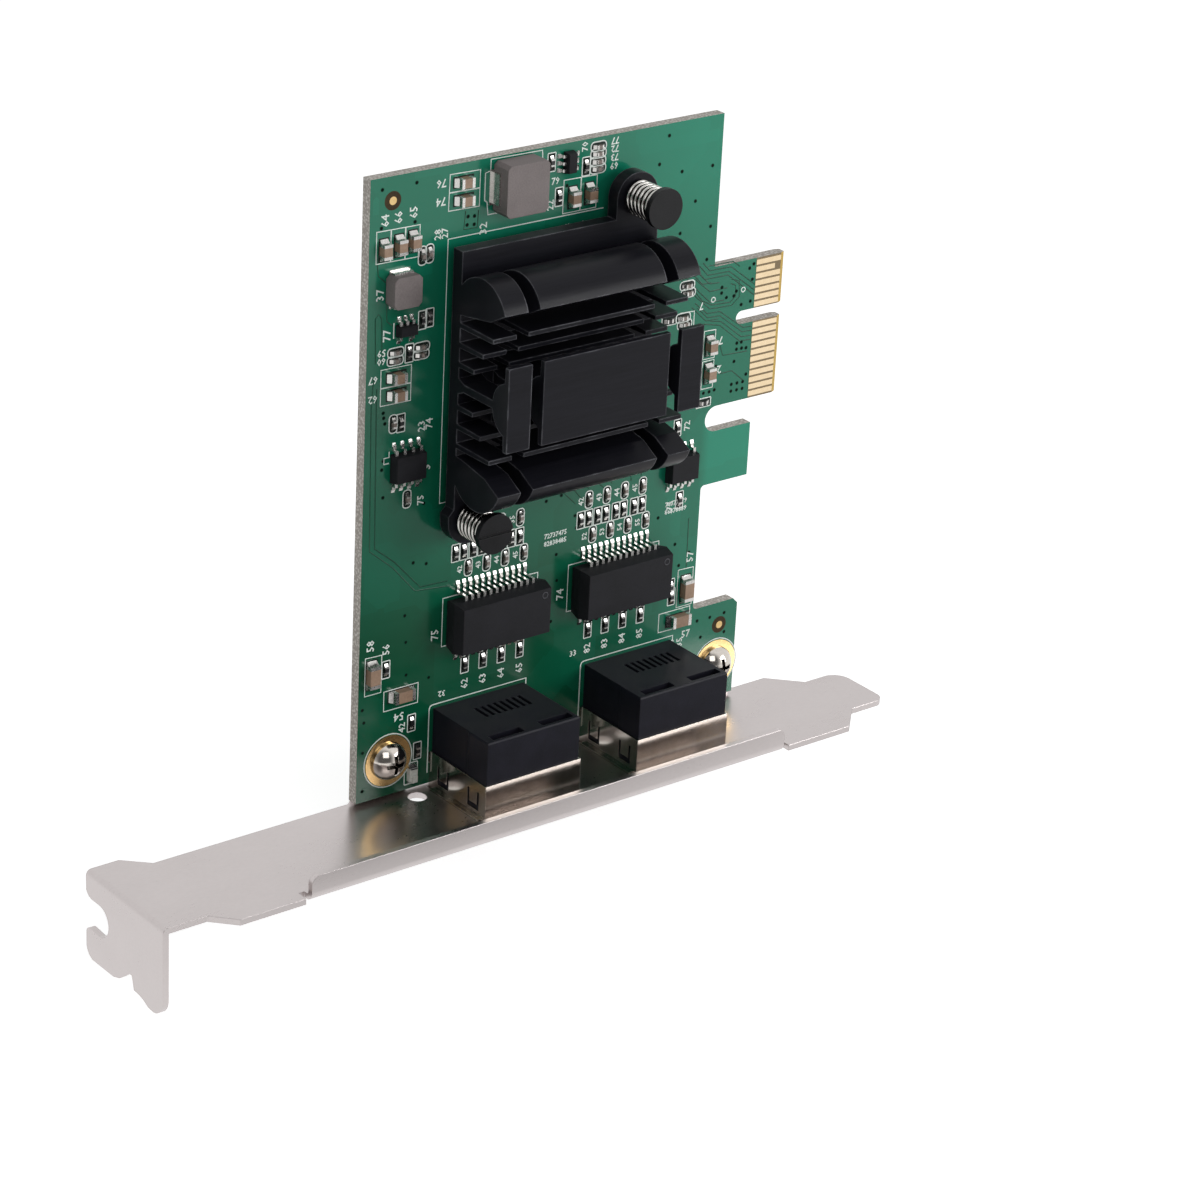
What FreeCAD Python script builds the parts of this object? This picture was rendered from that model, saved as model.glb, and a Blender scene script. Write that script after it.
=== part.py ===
import FreeCAD, Part
import math
import os
import Sketcher
from FreeCAD import Placement, Rotation, Vector

# Dual-port network interface card with its fixing bracket.
# Frame: millimetres. z = 0 is the outer face of the bracket plate, y = 0 the component
# face of the circuit board and x = 0 the middle of the bracket's 120 mm length.
# The edge contacts are at +x, the components face -y and the screw tab hangs at -x.

doc = FreeCAD.newDocument("network_card")
sheet = doc.addObject("Spreadsheet::Sheet", "sizes")


class Size:
    """A length that knows its number and the sheet expression that gives it."""

    def __init__(self, number, text):
        self.number = float(number)
        self.text = text

    def _join(self, other, sign, number):
        return Size(number, "(%s %s %s)" % (self.text, sign, word(other)))

    def __add__(self, other):
        return self._join(other, "+", self.number + num(other))

    def __sub__(self, other):
        return self._join(other, "-", self.number - num(other))

    def __mul__(self, other):
        return self._join(other, "*", self.number * num(other))

    def __truediv__(self, other):
        return self._join(other, "/", self.number / num(other))

    def __radd__(self, other):
        return Size(num(other) + self.number, "(%s + %s)" % (word(other), self.text))

    def __rsub__(self, other):
        return Size(num(other) - self.number, "(%s - %s)" % (word(other), self.text))

    def __rmul__(self, other):
        return Size(num(other) * self.number, "(%s * %s)" % (word(other), self.text))

    def __neg__(self):
        return Size(-self.number, "(0 - %s)" % self.text)


def num(value):
    return value.number if isinstance(value, Size) else float(value)


def word(value):
    if isinstance(value, Size):
        return value.text
    return "(0 - %.6g)" % -value if value < 0 else "%.6g" % value


rows = [0]


def size(alias, number):
    rows[0] += 1
    cell = "B%d" % rows[0]
    sheet.set("A%d" % rows[0], alias)
    sheet.set(cell, "%.6g" % number)
    sheet.setAlias(cell, alias)
    return Size(number, "sizes.%s" % alias)


# circuit board
board_thick = size("board_thick", 1.6)
board_left = size("board_left", 22.5)
board_bottom = size("board_bottom", 1.45)
board_top = size("board_top", 87.85)
board_right = size("board_right", 34.0)
inner_round = size("inner_round", 0.6)
slot_round = size("slot_round", 1.85)

# edge connector
key_height = size("key_height", 58.32)
edge_reach = size("edge_reach", 46.4)
edge_upper = size("edge_upper", 8.15)
edge_lower = size("edge_lower", 12.15)
key_width = size("key_width", 1.9)
key_depth = size("key_depth", 8.05)
contact_pitch = size("contact_pitch", 1.0)
contact_width = size("contact_width", 0.7)
contact_length = size("contact_length", 4.28)
contact_inset = size("contact_inset", 0.76)
contact_short = size("contact_short", 1.0)
contact_thick = size("contact_thick", 0.06)
bevel_width = size("bevel_width", 0.7)
bevel_depth = size("bevel_depth", 0.32)

# retention hook and lower wing of the board
hook_reach = size("hook_reach", 42.2)
hook_width = size("hook_width", 7.77)
wing_top = size("wing_top", 16.05)
wing_reach = size("wing_reach", 42.1)

# bracket
plate_thick = size("plate_thick", 0.86)
bracket_half = size("bracket_half", 60.01)
plate_width = size("plate_width", 18.42)
plate_gap = size("plate_gap", 0.02)
tab_offset = size("tab_offset", 3.08)
tab_drop = size("tab_drop", 12.0)
slot_axis = size("slot_axis", -5.08)
slot_end = size("slot_end", 2.25)
slot_in = size("slot_in", -0.75)
tongue_width = size("tongue_width", 10.19)
tongue_far = size("tongue_far", 2.6)
lip_height = size("lip_height", 3.64)
lip_left = size("lip_left", 40.7)
lip_right = size("lip_right", 37.7)
lip_round = size("lip_round", 1.2)
lip_bend = size("lip_bend", 1.3)
lip_relief = size("lip_relief", 1.7)
back_lip_height = size("back_lip_height", 3.2)
window_slack = size("window_slack", 0.2)
light_hole = size("light_hole", 2.6)
light_axis = size("light_axis", 1.65)
ear_width = size("ear_width", 8.4)
fold_round = size("fold_round", 0.8)

# fixing screws
screw_left = size("screw_left", 17.45)
screw_right = size("screw_right", 38.6)
screw_height = size("screw_height", 6.6)
screw_thread = size("screw_thread", 3.0)
screw_slack = size("screw_slack", 0.3)
screw_head = size("screw_head", 5.3)
screw_head_tall = size("screw_head_tall", 2.1)
screw_dome = size("screw_dome", 2.9)
screw_tip = size("screw_tip", 4.9)
pad_outer = size("pad_outer", 7.3)
pad_thick = size("pad_thick", 0.06)
collar_outer = size("collar_outer", 4.6)
collar_tall = size("collar_tall", 1.1)

# heat sink, chip and pad
chip_side = size("chip_side", 21.0)
chip_thick = size("chip_thick", 1.2)
pad_side = size("pad_side", 20.0)
pad_gap = size("pad_gap", 0.3)
sink_left = size("sink_left", 10.55)
sink_length = size("sink_length", 31.4)
sink_axis = size("sink_axis", 59.5)
sink_height = size("sink_height", 36.0)
sink_base = size("sink_base", 1.9)
sink_depth = size("sink_depth", 13.95)
cap_height = size("cap_height", 11.4)
cap_thick = size("cap_thick", 0.85)
stem_thick = size("stem_thick", 1.1)
fin_thick = size("fin_thick", 0.75)
slot_width = size("slot_width", 1.9)
end_block = size("end_block", 3.65)

# push pins and their springs
pin_span_x = size("pin_span_x", 25.25)
pin_span_z = size("pin_span_z", 39.6)
pin_middle = size("pin_middle", 4.62)
pin_middle_z = size("pin_middle_z", 60.3)
pin_shaft = size("pin_shaft", 2.9)
pin_slack = size("pin_slack", 0.2)
pin_head = size("pin_head", 5.5)
pin_head_face = size("pin_head_face", 9.2)
pin_head_tall = size("pin_head_tall", 1.1)
ear_round = size("ear_round", 3.35)
spring_wire = size("spring_wire", 0.5)
spring_mean = size("spring_mean", 2.15)

# modular jacks
jack_left = size("jack_left", 10.65)
jack_pitch = size("jack_pitch", 25.45)
jack_width = size("jack_width", 15.7)
jack_front = size("jack_front", 12.7)
jack_top = size("jack_top", 12.4)
jack_mouth = size("jack_mouth", 0.35)
skirt_top = size("skirt_top", 6.2)
skirt_thick = size("skirt_thick", 0.25)
plug_floor = size("plug_floor", 1.7)
plug_width = size("plug_width", 11.9)
plug_deep = size("plug_deep", 10.9)
plug_high = size("plug_high", 6.9)
latch_width = size("latch_width", 6.2)
latch_high = size("latch_high", 2.1)
step_line = size("step_line", 8.1)
recess_span = size("recess_span", 4.05)
recess_shift = size("recess_shift", 0.3)
comb_shift = size("comb_shift", 0.8)
peg_inset = size("peg_inset", 2.75)
peg_round = size("peg_round", 1.5)
wire_width = size("wire_width", 0.4)
wire_pitch = size("wire_pitch", 1.02)

# port lights
light_side_gap = size("light_side_gap", 3.0)
light_side = size("light_side", 1.3)
light_tall = size("light_tall", 2.0)
light_low = size("light_low", 2.7)

# isolation modules
module_pitch = size("module_pitch", 20.8)
module_middle = size("module_middle", 1.5)
module_axis = size("module_axis", 24.5)
module_length = size("module_length", 15.0)
module_height = size("module_height", 7.2)
module_tall = size("module_tall", 3.95)
module_draft = size("module_draft", 0.35)
lead_thick = size("lead_thick", 0.25)
lead_width = size("lead_width", 0.42)
lead_reach = size("lead_reach", 1.75)
lead_foot = size("lead_foot", 1.3)

# small parts
chip_stand = size("chip_stand", 0.1)
coil_large = size("coil_large", 6.6)
coil_small = size("coil_small", 4.2)

doc.recompute()

TINY = 0.01
nodes = []


# helpers

def bind(obj, name, value):
    """Gives a property its number and ties it to the sheet."""
    if isinstance(value, Size):
        obj.setExpression(name, value.text)


def place(obj, x=0.0, y=0.0, z=0.0, turn=None):
    obj.Placement = Placement(Vector(num(x), num(y), num(z)), turn or Rotation())
    bind(obj, "Placement.Base.x", x)
    bind(obj, "Placement.Base.y", y)
    bind(obj, "Placement.Base.z", z)
    return obj


def box(name, x, y, z, length, width, height):
    obj = doc.addObject("Part::Box", name)
    for prop, value in (("Length", length), ("Width", width), ("Height", height)):
        setattr(obj, prop, num(value))
        bind(obj, prop, value)
    return place(obj, x, y, z)


AXIS_Y = Rotation(Vector(1, 0, 0), -90)


def rod(name, x, y, z, radius, height, turn=AXIS_Y):
    """A cylinder whose axis runs towards +y unless turned otherwise."""
    obj = doc.addObject("Part::Cylinder", name)
    obj.Radius = num(radius)
    obj.Height = num(height)
    bind(obj, "Radius", radius)
    bind(obj, "Height", height)
    return place(obj, x, y, z, turn)


def cone(name, x, y, z, radius1, radius2, height, turn=AXIS_Y):
    obj = doc.addObject("Part::Cone", name)
    for prop, value in (("Radius1", radius1), ("Radius2", radius2), ("Height", height)):
        setattr(obj, prop, num(value))
        bind(obj, prop, value)
    return place(obj, x, y, z, turn)


def fuse(name, shapes):
    obj = doc.addObject("Part::MultiFuse", name)
    obj.Shapes = shapes
    obj.Refine = True
    return obj


def cut(name, base, tool):
    obj = doc.addObject("Part::Cut", name)
    obj.Base = base
    obj.Tool = tool
    return obj


def group(name, shapes):
    obj = doc.addObject("Part::Compound", name)
    obj.Links = shapes
    return obj


def node(obj, label):
    obj.Label = label
    nodes.append(obj)
    return obj


def plane_of(body, role):
    for feature in body.Origin.OriginFeatures:
        if getattr(feature, "Role", "") == role:
            return feature
    raise RuntimeError("no plane " + role)


def sketch_on(body, name, role, offset=0.0):
    """A sketch on one of the body's own planes, moved along that plane's normal."""
    sk = body.newObject("Sketcher::SketchObject", name)
    sk.AttachmentSupport = [(plane_of(body, role), "")]
    sk.MapMode = "FlatFace"
    sk.AttachmentOffset = Placement(Vector(0, 0, num(offset)), Rotation())
    bind(sk, "AttachmentOffset.Base.z", offset)
    return sk


def fix(sk, kind, args, value):
    index = sk.addConstraint(Sketcher.Constraint(kind, *args, num(value)))
    if isinstance(value, Size):
        sk.setExpression("Constraints[%d]" % index, value.text)
    return index


def outline(sk, points):
    """A closed outline. A point is (u, v), or (u, v, radius, side) where the stretch to the
    next point is an arc that bulges to the right (+1) or to the left (-1) of the way."""
    first = sk.GeometryCount
    count = len(points)
    ends = []
    for i, point in enumerate(points):
        nxt = points[(i + 1) % count]
        a = Vector(num(point[0]), num(point[1]), 0)
        b = Vector(num(nxt[0]), num(nxt[1]), 0)
        if len(point) == 2:
            index = sk.addGeometry(Part.LineSegment(a, b), False)
            ends.append((index, 1, 2))
            continue
        radius, side = num(point[2]), point[3]
        half = (b - a).Length / 2
        rise = math.sqrt(max(radius * radius - half * half, 0))
        along = (b - a).normalize()
        left = Vector(-along.y, along.x, 0)
        middle = (a + b) * 0.5 + left * (rise * side)
        start = math.atan2(a.y - middle.y, a.x - middle.x)
        stop = math.atan2(b.y - middle.y, b.x - middle.x)
        circle = Part.Circle(middle, Vector(0, 0, 1), radius)
        if side > 0:
            arc = Part.ArcOfCircle(circle, start, stop if stop > start else stop + 2 * math.pi)
            index = sk.addGeometry(arc, False)
            ends.append((index, 1, 2))
        else:
            arc = Part.ArcOfCircle(circle, stop, start if start > stop else start + 2 * math.pi)
            index = sk.addGeometry(arc, False)
            ends.append((index, 2, 1))
    for i in range(count):
        here, before = ends[i], ends[i - 1]
        sk.addConstraint(Sketcher.Constraint("Coincident", before[0], before[2], here[0], here[1]))
    for i, point in enumerate(points):
        fix(sk, "DistanceX", (-1, 1, ends[i][0], ends[i][1]), point[0])
        fix(sk, "DistanceY", (-1, 1, ends[i][0], ends[i][1]), point[1])
        if len(point) == 2:
            continue
        nxt = points[(i + 1) % count]
        chord = math.hypot(num(nxt[0]) - num(point[0]), num(nxt[1]) - num(point[1]))
        if abs(chord / 2 - num(point[2])) > 1e-5:
            fix(sk, "Radius", (ends[i][0],), point[2])
        elif abs(num(nxt[0]) - num(point[0])) < 1e-5:
            fix(sk, "DistanceX", (-1, 1, ends[i][0], 3), point[0])
        else:
            fix(sk, "DistanceY", (-1, 1, ends[i][0], 3), point[1])
    return first


def ring(sk, u, v, radius):
    index = sk.addGeometry(Part.Circle(Vector(num(u), num(v), 0), Vector(0, 0, 1), num(radius)), False)
    fix(sk, "DistanceX", (-1, 1, index, 3), u)
    fix(sk, "DistanceY", (-1, 1, index, 3), v)
    fix(sk, "Radius", (index,), radius)


def rectangle(sk, u0, v0, u1, v1):
    outline(sk, [(u0, v0), (u1, v0), (u1, v1), (u0, v1)])


def pad(body, sk, length, reverse=False):
    feature = body.newObject("PartDesign::Pad", sk.Name + "_pad")
    feature.Profile = sk
    feature.Length = num(length)
    bind(feature, "Length", length)
    feature.Reversed = reverse
    return feature


def pocket(body, sk, length, reverse=False):
    feature = body.newObject("PartDesign::Pocket", sk.Name + "_pocket")
    feature.Profile = sk
    feature.Length = num(length)
    bind(feature, "Length", length)
    feature.Reversed = reverse
    return feature


# circuit board: one outline with the key slot, the hook and the lower wing

board = doc.addObject("PartDesign::Body", "board")
key_low = key_height - key_width / 2
key_high = key_height + key_width / 2
edge_top = key_height + edge_upper
edge_bottom = key_height - edge_lower
hook_top = edge_bottom - slot_round * 2
hook_bottom = hook_top - hook_width
slot_start = board_right + slot_round
bottom_notch = 0.5
holes_x = (-screw_left, screw_right)
pin_x = (pin_middle - pin_span_x / 2, pin_middle + pin_span_x / 2)
pin_z = (pin_middle_z - pin_span_z / 2, pin_middle_z + pin_span_z / 2)
sk = sketch_on(board, "board_outline", "XZ_Plane")
outline(sk, [
    (-board_left, board_bottom), (wing_reach, board_bottom), (wing_reach, wing_top - 0.8),
    (wing_reach - 0.8, wing_top), (board_right + inner_round, wing_top, inner_round, -1),
    (board_right, wing_top + inner_round), (board_right, hook_bottom - inner_round, inner_round, -1),
    (board_right + inner_round, hook_bottom), (hook_reach, hook_bottom), (hook_reach, hook_top),
    (slot_start, hook_top, slot_round, -1), (slot_start, edge_bottom),
    (edge_reach, edge_bottom), (edge_reach, key_low),
    (edge_reach - key_depth + key_width / 2, key_low, key_width / 2, -1),
    (edge_reach - key_depth + key_width / 2, key_high),
    (edge_reach, key_high), (edge_reach, edge_top), (board_right, edge_top),
    (board_right, board_top), (-board_left, board_top)])
for x in holes_x:
    ring(sk, x, screw_height, (screw_thread + screw_slack) / 2)
for x, z in zip(pin_x, pin_z):
    ring(sk, x, z, (pin_shaft + pin_slack) / 2)
pad(board, sk, board_thick, True)

# the bevel along the contacts, on both faces
sk = sketch_on(board, "board_bevel", "XY_Plane", edge_bottom - 1)
outline(sk, [(edge_reach - bevel_width, 0), (edge_reach + 1, -0.001), (edge_reach + 1, bevel_depth),
             (edge_reach, bevel_depth)])
outline(sk, [(edge_reach - bevel_width, board_thick), (edge_reach, board_thick - bevel_depth),
             (edge_reach + 1, board_thick - bevel_depth), (edge_reach + 1, board_thick + 0.001)])
pocket(board, sk, edge_upper + edge_lower + 2, True)

# jack holes: tails, pegs and shield legs
jack_starts = (-jack_left, -jack_left + jack_pitch)
tail_z = (8.6, 11.1)
leg_z = 5.2
peg_z = 4.4
peg_span = jack_width / 2 - peg_inset
sk = sketch_on(board, "board_jack_holes", "XZ_Plane")
wires = []
for start in jack_starts:
    middle = start + jack_width / 2
    for i in range(8):
        wires.append((middle + wire_pitch * (i - 3.5), tail_z[i % 2]))
    for side in (-1, 1):
        leg = middle + (jack_width / 2 - skirt_thick / 2) * side
        rectangle(sk, leg - skirt_thick / 2 - 0.15, leg_z - 0.75, leg + skirt_thick / 2 + 0.15, leg_z + 0.75)
        ring(sk, middle + peg_span * side, peg_z, peg_round + 0.1)
for x, z in wires:
    ring(sk, x, z, wire_width / 2 + 0.12)
pocket(board, sk, board_thick, False)
node(board, "circuit_board")

# edge contacts: eighteen a side, one short contact on each side

def contact_z(k):
    step = (k - 12) + 1.5 if k > 11 else (k - 11) - 1.5
    return key_height + step * contact_pitch


for face, short in (("front", 17), ("back", 1)):
    strips = []
    for k in range(1, 19):
        end = contact_inset + contact_short if k == short else contact_inset
        left = edge_reach - contact_inset - contact_length
        y = -contact_thick if face == "front" else board_thick
        strips.append(box("contact_%s_%02d" % (face, k), left, y, contact_z(k) - contact_width / 2,
                          edge_reach - end - left, contact_thick, contact_width))
    node(group("contacts_%s" % face, strips), "edge_contacts_%s" % face)

# bracket: plate, screw tab, long front lip, back lip with two threaded ears

bracket = doc.addObject("PartDesign::Body", "bracket")
far = board_thick + plate_gap
near = far - plate_width
tab_far = far + tab_offset
tab_near = tab_far - plate_width
slope = tab_offset + 0.2
tongue_near = -tongue_far - tongue_width
shoulder = bracket_half - 6.2
tab_out = bracket_half + plate_thick
far_drop = far + tongue_far
near_drop = tongue_near - near
ear_out = board_thick + plate_thick
sk = sketch_on(bracket, "plate_outline", "XY_Plane")
edge = [(-tab_out, tab_near), (-bracket_half + 5.6, tab_near), (-bracket_half + 5.6 + slope * 0.9, near),
        (-lip_left - 0.9, near), (-lip_left - 0.9, near + lip_relief), (lip_right + 0.9, near + lip_relief),
        (lip_right + 0.9, near), (shoulder - near_drop, near), (shoulder, tongue_near),
        (bracket_half - 1.6, tongue_near, 1.6, 1),
        (bracket_half, tongue_near + 1.6), (bracket_half, -tongue_far - 2.6, 2.6, 1),
        (bracket_half - 2.6, -tongue_far), (shoulder, -tongue_far), (shoulder - far_drop, far)]
for x in reversed(holes_x):
    edge += [(x + ear_width / 2 + 1, far), (x + ear_width / 2, ear_out),
             (x - ear_width / 2, ear_out), (x - ear_width / 2 - 1, far)]
edge += [(-bracket_half + 4.0 + slope, far), (-bracket_half + 4.0, tab_far),
         (-tab_out, tab_far)]
outline(sk, edge)
plate = pad(bracket, sk, plate_thick)

# the tab that takes the chassis screw, with its hook-shaped slot and the notch at its end
sk = sketch_on(bracket, "tab_outline", "YZ_Plane", -tab_out)
slot_high = slot_axis + slot_end
slot_low = slot_axis - slot_end
outline(sk, [
    (tab_near, plate_thick), (tab_near, -tab_drop + 2.1, 2.6, 1), (tab_near + 2.2, -tab_drop - 0.1),
    (tab_near + 3.6, -tab_drop, 6.0, -1), (tab_near + 6.9, -tab_drop + 0.8),
    (tab_near + 7.4, -tab_drop + 2.7),
    (tab_near + 8.0, -tab_drop + 2.7), (tab_near + 10.3, -tab_drop + 0.9), (tab_near + 11.8, -tab_drop + 0.4),
    (tab_far - 1.4, -tab_drop + 0.4, 1.9, 1), (tab_far, -tab_drop + 2.0),
    (tab_far, slot_low - 0.65, 1.0, 1), (tab_far - 1.0, slot_low + 0.15),
    (slot_in + slot_end, slot_low, slot_end, -1),
    (slot_in + slot_end, slot_high), (tab_far - 1.4, slot_high, 1.6, 1), (tab_far, slot_high + 0.9),
    (tab_far, plate_thick)])
pad(bracket, sk, plate_thick)

# front lip along the near edge, folded up out of the plate between two relief notches
sk = sketch_on(bracket, "lip_profile", "YZ_Plane", -lip_left)
fold_in = near + lip_relief
outline(sk, [
    (fold_in, 0), (fold_in, plate_thick), (near + lip_bend, plate_thick, lip_bend - plate_thick, -1),
    (near + plate_thick, lip_bend), (near + plate_thick, lip_height), (near, lip_height),
    (near, lip_bend, lip_bend, 1), (near + lip_bend, 0)])
pad(bracket, sk, lip_left + lip_right)

# back lip and ears behind the board
sk = sketch_on(bracket, "back_outline", "XZ_Plane", -ear_out)
ear_r = ear_width / 2
line = [(holes_x[0] - ear_r, plate_thick / 2), (holes_x[0] + ear_r, plate_thick / 2),
        (holes_x[0] + ear_r, screw_height, ear_r, 1), (holes_x[0] - ear_r, screw_height)]
outline(sk, line)
line = [(holes_x[1] - ear_r, plate_thick / 2), (holes_x[1] + ear_r, plate_thick / 2),
        (holes_x[1] + ear_r, screw_height, ear_r, 1), (holes_x[1] - ear_r, screw_height)]
outline(sk, line)
pad(bracket, sk, plate_thick)

# threaded collars on the ears
sk = sketch_on(bracket, "collars", "XZ_Plane", -ear_out)
for x in holes_x:
    ring(sk, x, screw_height, collar_outer / 2)
pad(bracket, sk, collar_tall, True)
sk = sketch_on(bracket, "threads", "XZ_Plane", -(ear_out + collar_tall))
for x in holes_x:
    ring(sk, x, screw_height, screw_thread / 2)
pocket(bracket, sk, collar_tall + plate_thick, True)

# windows for the jacks and holes for the port lights
sk = sketch_on(bracket, "windows", "XY_Plane")
for start in jack_starts:
    rectangle(sk, start - window_slack, -jack_front - window_slack,
              start + jack_width + window_slack, window_slack)
lights_x = (-jack_left - light_side_gap, -jack_left + jack_width + light_side_gap,
            -jack_left + jack_pitch - light_side_gap, -jack_left + jack_pitch + jack_width + light_side_gap)
for x in lights_x:
    ring(sk, x, -light_axis, light_hole / 2)
pocket(bracket, sk, plate_thick, True)

# rounded fold at the tab and rounded corners on the lip
doc.recompute()


def picked_edges(shape, test):
    names = []
    for i, e in enumerate(shape.Edges):
        if e.Curve.TypeId == "Part::GeomLine" and test(e.Vertexes[0].Point, e.Vertexes[-1].Point):
            names.append("Edge%d" % (i + 1))
    return names


def same(a, b, value):
    return abs(a - num(value)) < TINY and abs(b - num(value)) < TINY


def round_off(body, name, test, radius):
    names = picked_edges(body.Shape, test)
    if not names:
        raise RuntimeError("no edge for " + name)
    before = body.Tip
    feature = body.newObject("PartDesign::Fillet", name)
    feature.Base = (before, names)
    feature.Radius = num(radius)
    bind(feature, "Radius", radius)
    body.Tip = feature
    doc.recompute()


round_off(bracket, "tab_fold", lambda p, q: same(p.x, q.x, -tab_out) and same(p.z, q.z, plate_thick)
          and abs(p.y - q.y) > 10, fold_round)
round_off(bracket, "lip_corners", lambda p, q: same(p.z, q.z, lip_height) and abs(p.y - q.y) > TINY,
          lip_round)
node(bracket, "bracket")

# gold rings under the screw heads
rings = []
for i, x in enumerate(holes_x):
    disc = rod("pad_disc_%d" % i, x, -pad_thick, screw_height, pad_outer / 2, pad_thick)
    bore = (screw_thread + screw_slack) / 2
    hole = rod("pad_hole_%d" % i, x, -pad_thick - 1, screw_height, bore, pad_thick + 2)
    rings.append(cut("pad_ring_%d" % i, disc, hole))
node(group("pads", rings), "screw_pads")

# screws: domed cross-recess heads, threaded shanks drawn plain
screws = []
for i, x in enumerate(holes_x):
    seat = -pad_thick
    ball = doc.addObject("Part::Sphere", "screw_ball_%d" % i)
    ball.Radius = num(screw_dome)
    bind(ball, "Radius", screw_dome)
    place(ball, x, seat - screw_head_tall + screw_dome, screw_height, AXIS_Y)
    dome = doc.addObject("Part::Common", "screw_dome_%d" % i)
    dome.Base = rod("screw_round_%d" % i, x, seat - screw_head_tall - 1, screw_height,
                    screw_head / 2, screw_head_tall + 1)
    dome.Tool = ball
    shank = rod("screw_shank_%d" % i, x, seat, screw_height, screw_thread / 2, screw_tip)
    head = fuse("screw_body_%d" % i, [dome, shank])
    deep = seat - screw_head_tall - 1
    long_slot = box("cross_a_%d" % i, x - 1.35, deep, screw_height - 0.28, 2.7, 2.1, 0.56)
    tall_slot = box("cross_b_%d" % i, x - 0.28, deep, screw_height - 1.35, 0.56, 2.1, 2.7)
    screws.append(cut("screw_%d" % i, head, fuse("cross_%d" % i, [long_slot, tall_slot])))
node(group("screws", screws), "bracket_screws")

# controller chip and its thermal pad
sink_middle = sink_length / 2 - sink_left
node(box("chip", sink_middle - chip_side / 2, -chip_thick, sink_axis - chip_side / 2,
         chip_side, chip_thick, chip_side), "controller_chip")
node(box("soft_pad", sink_middle - pad_side / 2, -chip_thick - pad_gap, sink_axis - pad_side / 2,
         pad_side, pad_gap, pad_side), "thermal_pad")

# heat sink: one extruded section, fins along x, cut by two cross slots
sink = doc.addObject("PartDesign::Body", "sink")
base_back = -(chip_thick + pad_gap)
base_front = base_back - sink_base
half = sink_height / 2
t2 = fin_thick / 2


def fin(offset, tip):
    """The four corners of one straight fin, lowest first."""
    return [(base_front, sink_axis + offset - t2), (-tip, sink_axis + offset - t2 * 0.8),
            (-tip, sink_axis + offset + t2 * 0.8), (base_front, sink_axis + offset + t2)]


cap_back = -sink_depth + cap_thick
stem = stem_thick / 2
section = [(base_back, sink_axis - half), (base_front, sink_axis - half),
           (base_front, sink_axis - 13.6, 5.3, -1), (-(sink_depth - 1.3), sink_axis - 12.2),
           (-9.65, sink_axis - 10.6), (-5.1, sink_axis - 9.8), (base_front, sink_axis - 9.6)]
section += fin(-8.2, 10.4) + fin(-5.55, 8.4) + fin(-2.9, 6.6)
section += [(base_front, sink_axis - stem - 0.5), (base_front - 1.2, sink_axis - stem),
            (cap_back + 2.4, sink_axis - stem, 3.4, -1), (cap_back, sink_axis - stem - 3.0),
            (cap_back - 0.1, sink_axis - cap_height / 2), (-sink_depth, sink_axis - cap_height / 2),
            (-sink_depth, sink_axis + cap_height / 2), (cap_back - 0.1, sink_axis + cap_height / 2),
            (cap_back, sink_axis + stem + 3.0, 3.4, -1), (cap_back + 2.4, sink_axis + stem),
            (base_front - 1.2, sink_axis + stem), (base_front, sink_axis + stem + 0.5)]
section += fin(2.9, 6.6) + fin(5.55, 8.4) + fin(8.2, 10.4)
section += [(base_front, sink_axis + 9.6), (-5.1, sink_axis + 9.8), (-9.65, sink_axis + 10.6),
            (-(sink_depth - 1.3), sink_axis + 12.2, 5.3, -1), (base_front, sink_axis + 13.6),
            (base_front, sink_axis + half), (base_back, sink_axis + half)]
sk = sketch_on(sink, "sink_section", "YZ_Plane", -sink_left)
outline(sk, section)
pad(sink, sk, sink_length)
sk = sketch_on(sink, "sink_slots", "XY_Plane", sink_axis - half - 1)
rectangle(sk, -sink_left + end_block, -sink_depth - 1, -sink_left + end_block + slot_width, base_front)
rectangle(sk, sink_length - sink_left - end_block - slot_width, -sink_depth - 1,
          sink_length - sink_left - end_block, base_front)
pocket(sink, sk, sink_height + 2, True)

# round ears for the push pins at two opposite corners
for i, (x, z, way) in enumerate(((pin_x[0], pin_z[0], 1), (pin_x[1], pin_z[1], -1))):
    sk = sketch_on(sink, "sink_ear_%d" % i, "XZ_Plane", -base_back)
    edge_z = sink_axis - half if way > 0 else sink_axis + half
    if way > 0:
        outline(sk, [(x - ear_round, z, ear_round, 1), (x + ear_round, z),
                     (x + ear_round, edge_z + 1.5), (x - ear_round + 1.4, edge_z + 1.5),
                     (x - ear_round, edge_z)])
    else:
        outline(sk, [(x + ear_round, z, ear_round, 1), (x - ear_round, z),
                     (x - ear_round, edge_z - 1.5), (x + ear_round - 1.4, edge_z - 1.5),
                     (x + ear_round, edge_z)])
    pad(sink, sk, sink_base)
sk = sketch_on(sink, "sink_ear_holes", "XZ_Plane", -base_front + 20)
for x, z in zip(pin_x, pin_z):
    ring(sk, x, z, (pin_shaft + pin_slack) / 2)
pocket(sink, sk, sink_base + 30)
# room round the springs and heads, where the fin block would meet them
sk = sketch_on(sink, "sink_ear_room", "XZ_Plane", -base_front)
for x, z in zip(pin_x, pin_z):
    ring(sk, x, z, pin_head / 2 + 0.35)
pocket(sink, sk, 30, True)
node(sink, "heat_sink")

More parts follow.
